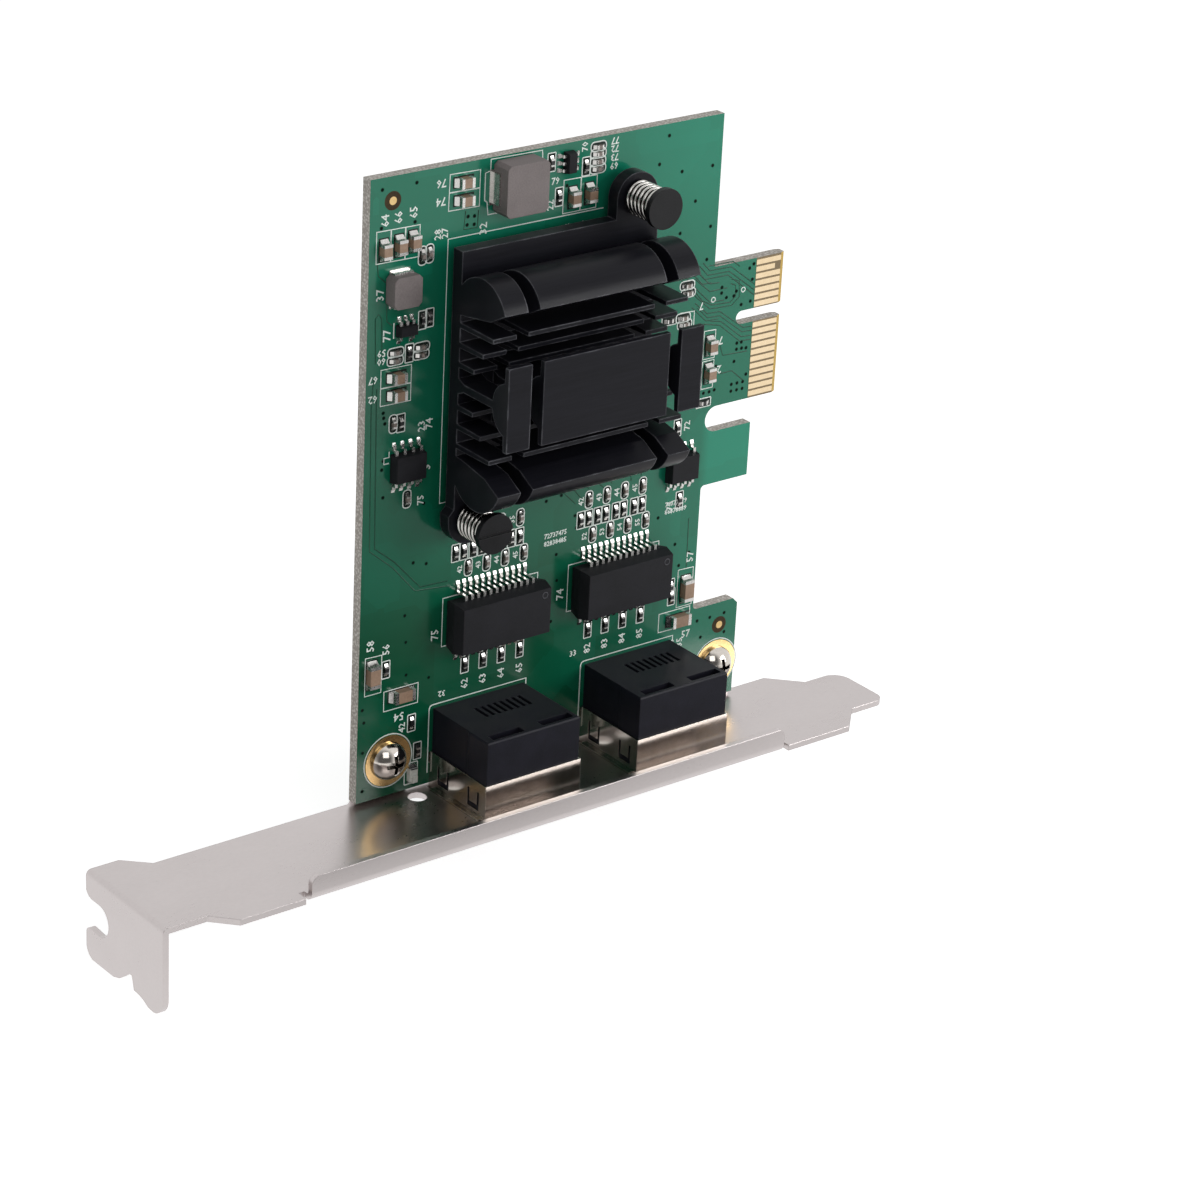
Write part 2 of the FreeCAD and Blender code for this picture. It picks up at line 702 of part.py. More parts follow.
# push pins: head, shaft and split barb behind the board
pins = []
for i, (x, z) in enumerate(zip(pin_x, pin_z)):
    head = rod("pin_head_%d" % i, x, -pin_head_face, z, pin_head / 2, pin_head_tall - 0.3)
    under = rod("pin_under_%d" % i, x, -pin_head_face + pin_head_tall - 0.3, z, pin_head / 2 - 0.35, 0.3)
    shaft = rod("pin_shaft_%d" % i, x, -pin_head_face + pin_head_tall, z, pin_shaft / 2,
                pin_head_face - pin_head_tall + board_thick + 0.1)
    barb = cone("pin_barb_%d" % i, x, board_thick + 0.1, z, pin_shaft / 2 + 0.5, pin_shaft / 2 - 0.35, 2.4)
    whole = fuse("pin_whole_%d" % i, [head, under, shaft, barb])
    split = box("pin_split_%d" % i, x - 0.3, board_thick - 0.9, z - 4, 0.6, 6, 8)
    line = box("pin_line_%d" % i, x - 4, -pin_head_face - 1, z - 0.2, 8, 1.3, 0.4)
    tools = [split, line] if i == 0 else [split]
    tool = fuse("pin_tools_%d" % i, tools) if len(tools) > 1 else split
    pins.append(cut("pin_%d" % i, whole, tool))
node(group("pins", pins), "push_pins")

# coil springs between the ears and the pin heads
springs = []
spring_top = pin_head_face - pin_head_tall
for i, (x, z) in enumerate(zip(pin_x, pin_z)):
    coil = doc.addObject("Part::Feature", "spring_%d" % i)
    low, high = num(base_front) - num(spring_wire) / 2, -num(spring_top) + num(spring_wire) / 2
    turns = 5.5
    wire = Part.makeHelix((low - high) / turns, low - high, num(spring_mean))
    circle = Part.Circle(Vector(num(spring_mean), 0, 0), Vector(0, 1, 0), num(spring_wire) / 2)
    circle = Part.Wire([circle.toShape()])
    coil.Shape = Part.Wire(wire.Edges).makePipeShell([circle], True, True)
    coil.Placement = Placement(Vector(num(x), low, num(z)), Rotation(Vector(1, 0, 0), 90))
    springs.append(coil)
node(group("springs", springs), "pin_springs")

# jack housings: a stepped block with the plug cavity, latch way, comb slots and two recesses
housings, skirts, contacts = [], [], []
housing_top = jack_top - 0.25
plug_near = -(plug_floor + plug_high)
for n, start in enumerate(jack_starts):
    middle = start + jack_width / 2
    inner = start + skirt_thick
    wide = jack_width - skirt_thick * 2
    front = -jack_front + skirt_thick
    deep = jack_front - skirt_thick
    block = box("house_block_%d" % n, inner, front, 0, wide, deep, housing_top)
    crown = doc.addObject("Part::Wedge", "house_crown_%d" % n)
    rise = jack_top - housing_top
    for prop, value in (("Xmin", 0.0), ("Ymin", 0.0), ("Zmin", 0.0), ("Xmax", wide), ("Ymax", rise),
                        ("Zmax", deep), ("X2min", 0.12), ("Z2min", 0.0), ("X2max", wide - 0.12),
                        ("Z2max", deep - 0.12)):
        setattr(crown, prop, num(value))
        bind(crown, prop, value)
    place(crown, inner, 0, housing_top, Rotation(Vector(1, 0, 0), 90))
    pegs = [rod("peg_%d_%d" % (n, s), middle + peg_span * s, 0, peg_z, peg_round, board_thick + 1.6)
            for s in (-1, 1)]
    solid = fuse("house_solid_%d" % n, [block, crown] + pegs)
    cavity = box("plug_%d" % n, middle - plug_width / 2, plug_near, -1, plug_width, plug_high, plug_deep + 1)
    latch = box("latch_%d" % n, middle - latch_width / 2, plug_near - latch_high, -1,
                latch_width, latch_high + 0.1, plug_deep + 1)
    tools = [cavity, latch]
    for s in (-1, 1):
        side = start + jack_width / 2 + (jack_width / 2 - skirt_thick) * s
        tools.append(box("side_step_%d_%d" % (n, s), side - 0.14, -step_line, skirt_top, 0.28, 12, 14))
    for i in range(8):
        x = middle + wire_pitch * (i - 3.5)
        tools.append(box("comb_%d_%d" % (n, i), x + comb_shift - 0.25, -5.9, jack_top - 1.2, 0.5, 3.0, 3))
        tools.append(box("wire_way_%d_%d" % (n, i), x - 0.27, -plug_floor - 0.05, 2.4, 0.54, 1.0,
                         plug_deep - 2.4))
    for s in (-1, 1):
        tools.append(box("recess_%d_%d" % (n, s), middle + recess_shift + recess_span * s - 2.55, -11.9,
                         jack_top - 0.9, 5.1, 1.35, 3))
    housings.append(cut("house_%d" % n, solid, fuse("house_tools_%d" % n, tools)))
    # metal skirt: three walls round the lower half, open towards the board, with spring fingers
    tall = skirt_top + jack_mouth
    outer = box("skirt_outer_%d" % n, start, -jack_front, -jack_mouth, jack_width, jack_front, tall)
    hollow = box("skirt_hollow_%d" % n, inner, front, -jack_mouth - 1, wide, jack_front, tall + 2)
    shell = cut("skirt_shell_%d" % n, outer, hollow)
    legs = []
    for s in (-1, 1):
        leg_x = start if s < 0 else start + jack_width - skirt_thick
        legs.append(box("leg_%d_%d" % (n, s), leg_x, -0.5, leg_z - 0.6, skirt_thick,
                        board_thick + 1.5, 1.2))
        ledge_x = start - 0.55 if s < 0 else start + jack_width
        legs.append(box("ledge_%d_%d" % (n, s), ledge_x, -11.8, plate_thick + 0.02, 0.55, 10.8, skirt_thick))
    whole = fuse("skirt_whole_%d" % n, [shell] + legs)
    tools = []
    for s in (-1, 1):
        wall = start - 1 if s < 0 else start + jack_width - 1
        for k, y in enumerate((-4.45, -11.2)):
            tools.append(box("finger_a_%d_%d_%d" % (n, s, k), wall, y, 2.05, 2, 0.4, 2.7))
            tools.append(box("finger_b_%d_%d_%d" % (n, s, k), wall, y + 2.1, 2.05, 2, 0.4, 2.7))
            tools.append(box("finger_c_%d_%d_%d" % (n, s, k), wall, y, 2.05, 2, 2.5, 0.75))
    skirts.append(cut("skirt_%d" % n, whole, fuse("skirt_tools_%d" % n, tools)))
node(group("houses", housings), "jack_housings")
node(group("shields", skirts), "jack_shields")

# jack contacts: tail through the board, run in its groove and spring arm in the cavity
for n in range(16):
    x, z = wires[n]
    left = x - wire_width / 2
    tail = box("tail_%02d" % n, left, -plug_floor + 0.35, z - wire_width / 2, wire_width,
               plug_floor - 0.35 + board_thick + 1.0, wire_width)
    run = box("run_%02d" % n, left, -plug_floor + 0.35, 2.6, wire_width, 0.35, z - 2.6 + wire_width / 2)
    arm = box("arm_%02d" % n, left, -plug_floor + 0.45, 2.6, wire_width, 0.25, 5.2)
    arm.Placement = Placement(arm.Placement.Base, Rotation(Vector(1, 0, 0), 20))
    contacts.append(fuse("wire_%02d" % n, [tail, run, arm]))
node(group("jack_wires", contacts), "jack_contacts")

# gull-wing leads: knee out of the body, drop to the board, foot along it

def gull(name, x, z, way, wide, high, reach, foot):
    """A lead that leaves a body at (x, z) towards way = (x step, z step)."""
    knee_long = reach - foot + lead_thick
    pieces = (("knee", 0, knee_long, high, lead_thick),
              ("drop", knee_long - lead_thick, lead_thick, high, high),
              ("foot", reach - foot, foot, lead_thick, lead_thick))
    solids = []
    for part, start, long, y, tall in pieces:
        if way[0] == 0:
            low = z + start if way[1] > 0 else z - start - long
            solids.append(box(name + "_" + part, x - wide / 2, -y, low, wide, tall, long))
        else:
            low = x + start if way[0] > 0 else x - start - long
            solids.append(box(name + "_" + part, low, -y, z - wide / 2, long, tall, wide))
    return fuse(name, solids)


# port lights at the lower edge of the board
lights = []
for i, x in enumerate(lights_x):
    lights.append(fuse("light_%d" % i, [
        box("light_body_%d" % i, x - light_side / 2, -0.7, light_low, light_side, 0.7, light_tall),
        box("light_lens_%d" % i, x - light_side * 0.3, -1.1, light_low, light_side * 0.6, 1.1,
            light_tall * 0.45)]))
node(group("lights", lights), "port_lights")

# isolation modules: two drafted blocks with twelve gull-wing leads on each long side
modules, module_leads = [], []
split_y = -module_tall * 0.53
for n in range(2):
    middle = -module_middle + module_pitch * n
    left, low = middle - module_length / 2, module_axis - module_height / 2
    for k, (y0, y1, grow) in enumerate(((-module_tall, split_y, 0), (split_y, -0.15, 1))):
        a = module_draft
        wedge = doc.addObject("Part::Wedge", "module_%d_%d" % (n, k))
        narrow, broad = (a, 0.0) if k == 0 else (0.0, a)
        values = {"Xmin": 0 + num(narrow), "Xmax": num(module_length) - num(narrow), "Ymin": 0.0,
                  "Ymax": num(y1) - num(y0), "Zmin": num(narrow), "Zmax": num(module_height) - num(narrow),
                  "X2min": num(broad), "X2max": num(module_length) - num(broad),
                  "Z2min": num(broad), "Z2max": num(module_height) - num(broad)}
        for prop, value in values.items():
            setattr(wedge, prop, value)
        bind(wedge, "Xmin", narrow if k == 0 else 0)
        bind(wedge, "Zmin", narrow if k == 0 else 0)
        bind(wedge, "Xmax", module_length - narrow)
        bind(wedge, "Zmax", module_height - narrow)
        bind(wedge, "X2min", broad if k else 0)
        bind(wedge, "Z2min", broad if k else 0)
        bind(wedge, "X2max", module_length - broad)
        bind(wedge, "Z2max", module_height - broad)
        bind(wedge, "Ymax", y1 - y0)
        place(wedge, left, y0, low)
        modules.append(wedge)
    modules[-2:] = [fuse("module_%d" % n, modules[-2:])]
    for s in (-1, 1):
        side = module_axis + module_height / 2 * s
        for i in range(12):
            module_leads.append(gull("lead_%d_%d_%02d" % (n, s, i), middle + (i - 5.5), side, (0, s),
                                     lead_width, -split_y, lead_reach, lead_foot))
node(group("module_blocks", modules), "isolation_modules")
node(group("module_pins", module_leads), "isolation_module_leads")

# small packages: eight-lead memory and driver chips, a supervisor and a regulator
packages = (
    ("memory", -16.0, 48.65, 4.9, 3.9, 1.4, 4, 1.27, 1.15, 0.7, 0.42, "z"),
    ("driver", 29.9, 38.6, 4.9, 3.9, 1.4, 4, 1.27, 1.15, 0.7, 0.42, "z"),
    ("supervisor", -16.7, 67.3, 2.9, 1.6, 1.05, 3, 0.95, 0.7, 0.4, 0.4, "z"),
    ("regulator", 8.2, 85.35, 1.6, 2.9, 1.05, 3, 0.95, 0.7, 0.4, 0.4, "x"))
bodies = {"big": [], "small": []}
legs = {"big": [], "small": []}
for name, x, z, wide, high, tall, count, pitch, reach, foot, lead, along in packages:
    kind = "big" if wide > 4 else "small"
    wedge = doc.addObject("Part::Wedge", name)
    slope = 0.18
    for prop, value in (("Xmin", slope), ("Ymin", 0), ("Zmin", slope), ("Xmax", wide - slope),
                        ("Zmax", high - slope), ("Ymax", tall), ("X2min", 0), ("Z2min", 0),
                        ("X2max", wide), ("Z2max", high)):
        setattr(wedge, prop, value)
    wedge.Xmax = wide - slope
    bodies[kind].append(place(wedge, x - wide / 2, -chip_stand - tall, z - high / 2))
    for s in (-1, 1):
        for i in range(count):
            step = (i - (count - 1) / 2) * pitch
            if name == "supervisor" and s < 0 and i == 1:
                continue
            if along == "z":
                spot, way = (x + step, z + (high / 2 - slope * 0.5) * s), (0, s)
            else:
                spot, way = (x + (wide / 2 - slope * 0.5) * s, z + step), (s, 0)
            legs[kind].append(gull("%s_leg_%d_%d" % (name, s, i), spot[0], spot[1], way,
                                   lead, tall * 0.5 + 0.1, reach, foot))
node(group("big_chip_bodies", bodies["big"]), "memory_chips")
node(group("big_chip_legs", legs["big"]), "memory_chip_leads")
node(group("small_chip_bodies", bodies["small"]), "power_chips")
node(group("small_chip_legs", legs["small"]), "power_chip_leads")

# shielded power inductors: moulded block with clipped corners and two wrapped terminals

def inductor(name, x, z, wide, high, tall, side, terminal, beyond):
    body = doc.addObject("PartDesign::Body", name)
    sk = sketch_on(body, name + "_outline", "XZ_Plane", 0.1)
    c = 0.5
    l, r, b, t = x - wide / 2, x + wide / 2, z - high / 2, z + high / 2
    outline(sk, [(l + c, b), (r - c, b), (r, b + c), (r, t - c),
                 (r - c, t), (l + c, t), (l, t - c), (l, b + c)])
    pad(body, sk, tall)
    ends = []
    for s in (-1, 1):
        tag = "%s_%s_%d" % (name, "%s", s)
        if side == "x":
            a = x + wide / 2 * s
            foot = box(tag % "foot", a - (terminal if s > 0 else beyond), -0.1, z - high * 0.34,
                       terminal + beyond, 0.1, high * 0.68)
            rise = box(tag % "rise", a if s > 0 else a - 0.25, -tall * 0.55, z - high * 0.3,
                       0.25, tall * 0.55, high * 0.6)
        else:
            a = z + high / 2 * s
            foot = box(tag % "foot", x - wide * 0.37, -0.1, a - (terminal if s > 0 else beyond),
                       wide * 0.74, 0.1, terminal + beyond)
            rise = box(tag % "rise", x - wide * 0.34, -tall * 0.55, a if s > 0 else a - 0.25,
                       wide * 0.68, tall * 0.55, 0.25)
        ends.append(fuse(tag % "end", [foot, rise]))
    return body, ends


large, large_ends = inductor("choke_large", -0.35, 83.9, coil_large, coil_large + 0.3, 3.0, "x", 1.6, 0.6)
small, small_ends = inductor("choke_small", -17.75, 73.0, coil_small, coil_small, 2.0, "z", 1.0, 0.45)
node(large, "large_inductor")
node(group("large_inductor_pins", large_ends), "large_inductor_terminals")
node(small, "small_inductor")
node(group("small_inductor_pins", small_ends), "small_inductor_terminals")

# chip parts: a ceramic middle between two metal ends, sizes by family
families = {
    "filter": (3.2, 1.6, 1.1, 0.5),
    "bulk": (2.0, 1.25, 1.15, 0.42),
    "bypass": (1.0, 0.5, 0.5, 0.24),
    "resistor": (1.0, 0.5, 0.33, 0.22)}
chips = {
    "filter": [(-20.5, 19.9, "z"), (32.3, 19.7, "z"), (-15.6, 15.9, "x"), (31.3, 15.3, "x")],
    "bulk": [(-20.3, 78.4, "z"), (-18.0, 78.6, "z"), (-15.9, 78.8, "z"), (9.15, 80.4, "z"),
             (11.85, 80.5, "z"),
             (-8.3, 85.4, "x"), (-8.2, 83.0, "x"), (-17.85, 61.1, "x"), (-17.75, 58.7, "x"),
             (33.9, 55.3, "z"), (33.95, 51.3, "z")],
    "bypass": [(-14.3, 76.6, "z"), (-13.2, 76.7, "z"), (-18.0, 64.4, "x"), (-18.05, 63.3, "x"),
               (-18.1, 54.7, "z"),
               (13.1, 86.6, "x"), (13.1, 85.65, "x"), (13.1, 84.6, "x"), (13.15, 83.6, "x"),
               (29.4, 64.7, "x"), (29.6, 63.6, "x"), (29.0, 60.2, "x"), (29.3, 59.2, "x"),
               (-15.6, 43.8, "z"), (-14.0, 64.4, "x"), (-14.05, 63.35, "x")],
    "resistor": [(-14.0, 68.0, "z"), (-12.9, 68.1, "z"), (-15.9, 63.9, "z"), (-16.9, 54.6, "z"),
                 (5.55, 85.65, "z"),
                 (7.0, 80.8, "z"), (11.2, 84.2, "z"), (26.6, 60.2, "x"), (33.5, 47.1, "x"), (29.2, 44.3, "z"),
                 (30.3, 33.5, "z"), (-18.2, 20.1, "z"), (-13.8, 11.2, "z"),
                 (-12.7, 6.8, "z"),
                 (29.7, 20.5, "z"), (29.9, 19.0, "z")]}
for n in range(2):
    shift = module_pitch.number * n - 0.1 * n
    for x in (-5.35, -2.35, 0.68, 3.77):
        chips["bypass"].append((x + shift, 31.8, "z"))
        chips["resistor"].append((x + shift, 17.65, "z"))
    for x in (-6.25, -3.2, -0.15, 2.95):
        chips["bypass"].append((x + shift, 37.05, "z"))
    for x in (-7.5, -6.15, -4.65, -3.25, -1.55, -0.2, 1.6, 3.0):
        chips["resistor"].append((x + shift, 34.3, "z"))
titles = {"filter": "filter_capacitor", "bulk": "bulk_capacitor", "bypass": "bypass_capacitor",
          "resistor": "resistor"}
for family, (long, wide, tall, end) in families.items():
    middles, ends = [], []
    for i, (x, z, way) in enumerate(chips[family]):
        tag = "%s_%02d" % (family, i)
        if way == "x":
            middles.append(box(tag, x - long / 2 + end, -tall, z - wide / 2, long - end * 2, tall, wide))
        else:
            middles.append(box(tag, x - wide / 2, -tall, z - long / 2 + end, wide, tall, long - end * 2))
        for s in (-1, 1):
            near_end = (long / 2 - end) if s > 0 else -long / 2
            if way == "x":
                ends.append(box("%s_%d" % (tag, s), x + near_end, -tall - 0.02, z - wide / 2 - 0.02,
                                end, tall + 0.02, wide + 0.04))
            else:
                ends.append(box("%s_%d" % (tag, s), x - wide / 2 - 0.02, -tall - 0.02, z + near_end,
                                wide + 0.04, tall + 0.02, end))
    node(group(family + "_middles", middles), titles[family] + "_bodies")
    node(group(family + "_ends", ends), titles[family] + "_ends")

# sighting dots for the assembly machine
dots = [rod("dot_%d" % i, x, -contact_thick, z, 0.55, contact_thick)
        for i, (x, z) in enumerate(((-19.07, 84.64), (38.96, 12.58)))]
node(group("dots", dots), "sighting_dots")

doc.recompute()
bad = [o.Name for o in doc.Objects if "Invalid" in o.State or "Error" in o.State]
for obj in nodes:
    if obj.Shape.isNull() or not obj.Shape.isValid() or obj.Shape.Volume <= 0:
        bad.append("shape of " + obj.Label)
if bad:
    raise RuntimeError("not built: " + ", ".join(bad))
os.makedirs("parts", exist_ok=True)
for obj in nodes:
    obj.Shape.exportStep("parts/%s.step" % obj.Label)
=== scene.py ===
"""Dresses the two-port network interface card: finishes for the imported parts, and the printed,
soldered and etched detail that lies on the board."""

import math

import bpy
import bmesh
from mathutils import Matrix, Vector


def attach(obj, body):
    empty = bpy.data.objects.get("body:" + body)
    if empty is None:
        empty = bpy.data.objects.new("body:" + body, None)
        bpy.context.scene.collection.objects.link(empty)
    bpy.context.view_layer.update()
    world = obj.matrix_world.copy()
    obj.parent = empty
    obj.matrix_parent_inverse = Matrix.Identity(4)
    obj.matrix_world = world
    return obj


bl_info = {
    "name": "Network Interface Card",
    "version": (1, 0, 0),
    "blender": (4, 5, 0),
    "location": "View3D > Sidebar > Card",
    "description": "Finishes and small board detail for a two-port network interface card",
    "category": "Object",
}

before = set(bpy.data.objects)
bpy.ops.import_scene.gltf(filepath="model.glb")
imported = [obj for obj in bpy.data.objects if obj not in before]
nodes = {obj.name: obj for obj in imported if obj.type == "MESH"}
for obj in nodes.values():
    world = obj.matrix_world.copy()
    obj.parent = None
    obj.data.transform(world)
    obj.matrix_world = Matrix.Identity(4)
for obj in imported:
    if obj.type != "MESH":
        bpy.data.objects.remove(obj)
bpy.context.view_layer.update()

MM = 0.001
# Turns a flat primitive into the board's plane.
UPRIGHT = (math.radians(90), 0, 0)

# Places are in millimetres on the board's front face, x towards the edge contacts and z up.
HOLES = [
    (-20.7, 86.3), (-15.5, 86.4), (-15.6, 81.3), (-20.7, 81.3), (-7.4, 80.6), (-6.4, 80.5),
    (-7.5, 79.5), (-6.4, 79.4), (23.4, 82.5), (27.3, 80.9), (32.5, 80.9), (32.8, 72.4),
    (27.6, 72.3), (32.5, 67.8), (35.5, 63.3), (35.5, 62.5), (36.4, 61.7), (37.7, 61.7),
    (38.1, 62.3), (39.1, 60.2), (40.7, 60.4), (40.8, 63.5), (40.9, 65.7), (40.2, 65.2),
    (38.8, 54.7), (39.6, 54.7), (38.8, 53.8), (39.7, 53.8), (40.5, 53.7), (38.5, 52.1),
    (35.3, 52.0), (40.8, 49.8), (38.3, 48.8), (39.3, 48.8), (40.3, 48.8), (38.3, 47.8),
    (39.3, 47.8), (40.3, 47.8), (33.4, 48.5), (34.4, 48.5), (35.3, 48.6), (-19.7, 56.5),
    (-19.6, 55.8), (-19.4, 55.0), (-19.5, 49.9), (-19.7, 48.7), (-19.4, 44.8), (-14.3, 34.5),
    (-12.9, 42.6), (9.7, 38.7), (7.2, 38.4), (-15.4, 27.2), (26.7, 31.6), (12.5, 33.4),
    (30.0, 26.9), (32.6, 25.1), (30.9, 23.5), (34.9, 14.1), (37.2, 14.1), (39.8, 14.2),
    (-15.1, 23.3), (-21.8, 15.1), (-21.5, 13.2), (-21.6, 8.8), (-21.5, 3.1), (-14.9, 18.5),
    (35.7, 11.4), (40.0, 11.2), (40.5, 8.7), (9.3, 30.2), (9.6, 26.3), (-12.2, 33.9), (8.9, 20.4),
    (-11.2, 17.2), (12.2, 35.2), (8.2, 82.1), (24.8, 86.2), (29.9, 76.4)]
RINGED_HOLES = [(39.3, 62.3), (34.1, 61.8)]
ETCHED_GAPS = [
    [(-21.1, 63.4), (-21.3, 69.5), (-20.8, 70.0), (-20.3, 69.3), (-20.1, 63.2)],
    [(-21.3, 77.7), (-21.0, 75.1), (-19.8, 74.0)], [(-19.7, 72.3), (-19.5, 68.8), (-18.1, 67.7)],
    [(-21.3, 61.5), (-21.6, 57.9), (-21.3, 37.7), (-17.6, 34.6), (-13.9, 30.4), (-8.2, 29.8)],
    [(-20.8, 60.0), (-20.8, 57.8), (-20.5, 37.9), (-17.3, 35.3), (-13.1, 30.8), (-8.6, 30.6)],
    [(31.3, 67.1), (32.9, 65.5), (36.6, 65.4), (41.3, 61.9)],
    [(29.6, 67.9), (32.4, 65.0), (36.4, 64.9), (41.3, 61.2)],
    [(30.9, 66.3), (33.3, 64.2), (35.0, 64.1)], [(30.6, 65.4), (33.4, 63.1), (36.4, 63.1)],
    [(28.0, 65.9), (31.2, 62.6), (33.6, 60.6), (37.4, 60.4), (38.7, 61.4), (38.5, 63.7),
     (37.1, 64.2)],
    [(29.2, 65.3), (32.2, 62.0), (33.9, 61.1), (37.1, 60.9), (38.0, 61.6), (37.9, 63.2),
     (37.0, 63.6)], [(30.9, 61.9), (33.2, 60.0), (35.4, 59.9), (39.7, 56.8), (41.2, 56.7)],
    [(31.4, 61.1), (33.3, 59.4), (35.4, 59.3), (39.6, 56.2), (41.2, 56.1)],
    [(33.8, 58.8), (35.7, 58.4), (39.5, 55.5), (41.2, 55.4)],
    [(31.9, 67.4), (33.2, 66.1), (36.9, 66.0), (41.3, 62.7)],
    [(29.0, 67.4), (32.0, 64.4), (33.6, 64.3)],
    [(28.4, 66.6), (31.6, 63.3), (33.5, 61.6), (36.0, 61.4)],
    [(30.4, 61.4), (33.0, 59.0), (35.2, 58.9)],
    [(32.6, 58.6), (35.5, 57.9), (39.3, 54.9), (41.2, 54.8)],
    [(33.0, 66.8), (37.2, 66.7), (38.4, 65.8)], [(35.7, 55.3), (36.4, 53.4), (40.7, 53.2)],
    [(35.7, 50.8), (38.2, 50.8), (40.6, 48.8)], [(7.0, 42.0), (12.2, 36.9)],
    [(9.3, 42.0), (13.2, 37.4)], [(11.0, 42.0), (14.4, 38.6)], [(13.4, 41.4), (17.3, 37.9)],
    [(16.0, 41.9), (18.3, 38.6)], [(19.9, 41.4), (21.5, 38.9), (21.6, 38.2)],
    [(22.9, 41.4), (23.3, 38.6)], [(-7.8, 81.4), (-8.0, 79.0), (-5.9, 78.9), (-5.8, 81.2)],
    [(32.2, 30.3), (32.3, 22.6)]]
# Printed lines round the larger parts; one that ends where it starts is closed.
PRINTED = [
    [(-9.2, 42.0), (-10.4, 42.0), (-10.4, 78.1), (14.4, 78.1)],
    [(-2.6, 80.3), (-4.3, 80.3), (-4.5, 82.0), (-4.9, 82.3), (-4.9, 85.9), (-4.1, 86.1),
     (-4.1, 87.6), (4.0, 87.5), (4.1, 86.0)],
    [(-10.4, 86.6), (-5.7, 86.5), (-5.7, 81.7), (-10.5, 81.8), (-10.4, 86.6)],
    [(-10.4, 84.2), (-5.7, 84.1)],
    [(-21.4, 80.9), (-14.8, 80.8), (-14.8, 76.6), (-21.4, 76.7), (-21.4, 80.9)],
    [(-19.2, 80.8), (-19.2, 76.7)], [(-17.0, 80.8), (-17.0, 76.7)],
    [(7.7, 82.9), (13.1, 82.8), (13.1, 78.4), (7.7, 78.4), (7.7, 82.9)],
    [(10.5, 82.8), (10.5, 78.4)], [(-18.4, 68.4), (-18.4, 66.3)],
    [(-20.2, 62.4), (-15.5, 62.3), (-15.5, 57.4), (-20.2, 57.5), (-20.2, 62.4)],
    [(-20.2, 59.9), (-15.5, 59.8)],
    [(32.9, 57.5), (34.9, 57.4), (34.9, 53.4), (32.9, 53.4), (32.9, 57.5)],
    [(32.9, 53.1), (34.9, 53.1), (34.9, 49.1), (32.9, 49.1), (32.9, 53.1)],
    [(28.4, 60.9), (30.9, 60.8), (30.9, 58.6)],
    [(-6.4, 28.2), (-9.3, 28.2), (-9.3, 21.2), (-8.4, 21.2)],
    [(14.5, 28.1), (11.5, 28.1), (11.5, 21.2), (12.4, 21.2)],
    [(4.8, 28.3), (6.3, 28.3), (6.3, 27.1)], [(25.6, 28.1), (27.1, 28.1), (27.1, 27.0)],
    [(-10.95, 3.0), (-10.95, 12.45), (-10.8, 12.8), (-10.45, 12.95), (5.1, 12.95), (5.1, 12.1)],
    [(14.45, 3.0), (14.45, 12.45), (14.6, 12.8), (14.95, 12.95), (30.6, 12.95), (30.6, 12.1)],
    [(-21.5, 22.5), (-18.9, 22.4), (-18.9, 17.0), (-21.5, 17.0), (-21.5, 22.5)],
    [(-18.4, 16.9), (-12.9, 16.9), (-12.9, 14.0), (-18.4, 14.0), (-18.4, 16.9)],
    [(30.9, 22.8), (33.6, 22.7), (33.6, 17.1), (30.9, 17.1), (30.9, 22.8)],
    [(27.9, 16.8), (33.4, 16.8), (33.4, 13.9), (27.9, 14.0), (27.9, 16.8)],
    [(-18.6, 51.0), (-18.6, 50.2), (-19.4, 50.2), (-19.4, 49.4), (-18.6, 49.4)]]
# Plain position numbers: text, x, z, height of a digit, turn in degrees.
NUMBERS = [
    ("76", -11.7, 85.7, 1.4, 180), ("74", -11.7, 83.3, 1.4, 180), ("64", -20.1, 82.2, 1.5, 90),
    ("66", -18.1, 82.3, 1.5, 90), ("65", -15.8, 82.6, 1.5, 90), ("37", -20.6, 72.5, 1.5, 90),
    ("32", -4.9, 78.6, 1.5, 90), ("77", -19.4, 66.9, 1.5, 90), ("67", -21.4, 61.3, 1.3, 180),
    ("62", -21.4, 58.7, 1.3, 180), ("59", -20.2, 64.7, 1.2, 180), ("60", -20.2, 63.6, 1.2, 180),
    ("28", -12.0, 79.0, 1.3, 90), ("27", -10.9, 79.0, 1.3, 90), ("23", -13.6, 53.5, 1.4, 90),
    ("74", -12.4, 53.6, 1.4, 90), ("3", -12.6, 47.6, 1.6, 90), ("75", -13.4, 43.2, 1.3, 90),
    ("75", -10.4, 23.2, 1.5, 90), ("74", 10.3, 24.1, 1.5, 90), ("58", -20.7, 24.1, 1.5, 90),
    ("56", -18.2, 23.0, 1.4, 90), ("54", -15.9, 12.7, 1.5, 180), ("42", -15.3, 10.9, 1.3, 90),
    ("32", -9.0, 14.3, 1.1, 180), ("33", 13.0, 14.6, 1.1, 0), ("57", 32.9, 24.4, 1.5, 90),
    ("57", 32.9, 12.6, 1.4, 0), ("46", 30.4, 11.7, 1.3, 90), ("35", 31.9, 11.6, 1.3, 90),
    ("7", 35.9, 55.7, 1.5, 180), ("2", 35.9, 51.5, 1.5, 180), ("7", 32.1, 61.3, 1.3, 180),
    ("72", 30.9, 44.3, 1.3, 90), ("2", 26.2, 40.0, 1.5, 90), ("73", 28.7, 32.9, 1.4, 90),
    ("24", 4.6, 82.9, 1.3, 90), ("22", 5.7, 79.9, 1.3, 90), ("8", 8.6, 76.6, 1.3, 90),
    ("9", 11.3, 76.6, 1.3, 90), ("70", 10.9, 86.9, 1.2, 90), ("77", 15.8, 87.0, 1.2, 180),
    ("72", 15.8, 85.9, 1.2, 180), ("73", 15.8, 84.75, 1.2, 180), ("69", 15.8, 83.6, 1.2, 180),
    ("79", 6.3, 83.0, 1.2, 0)]
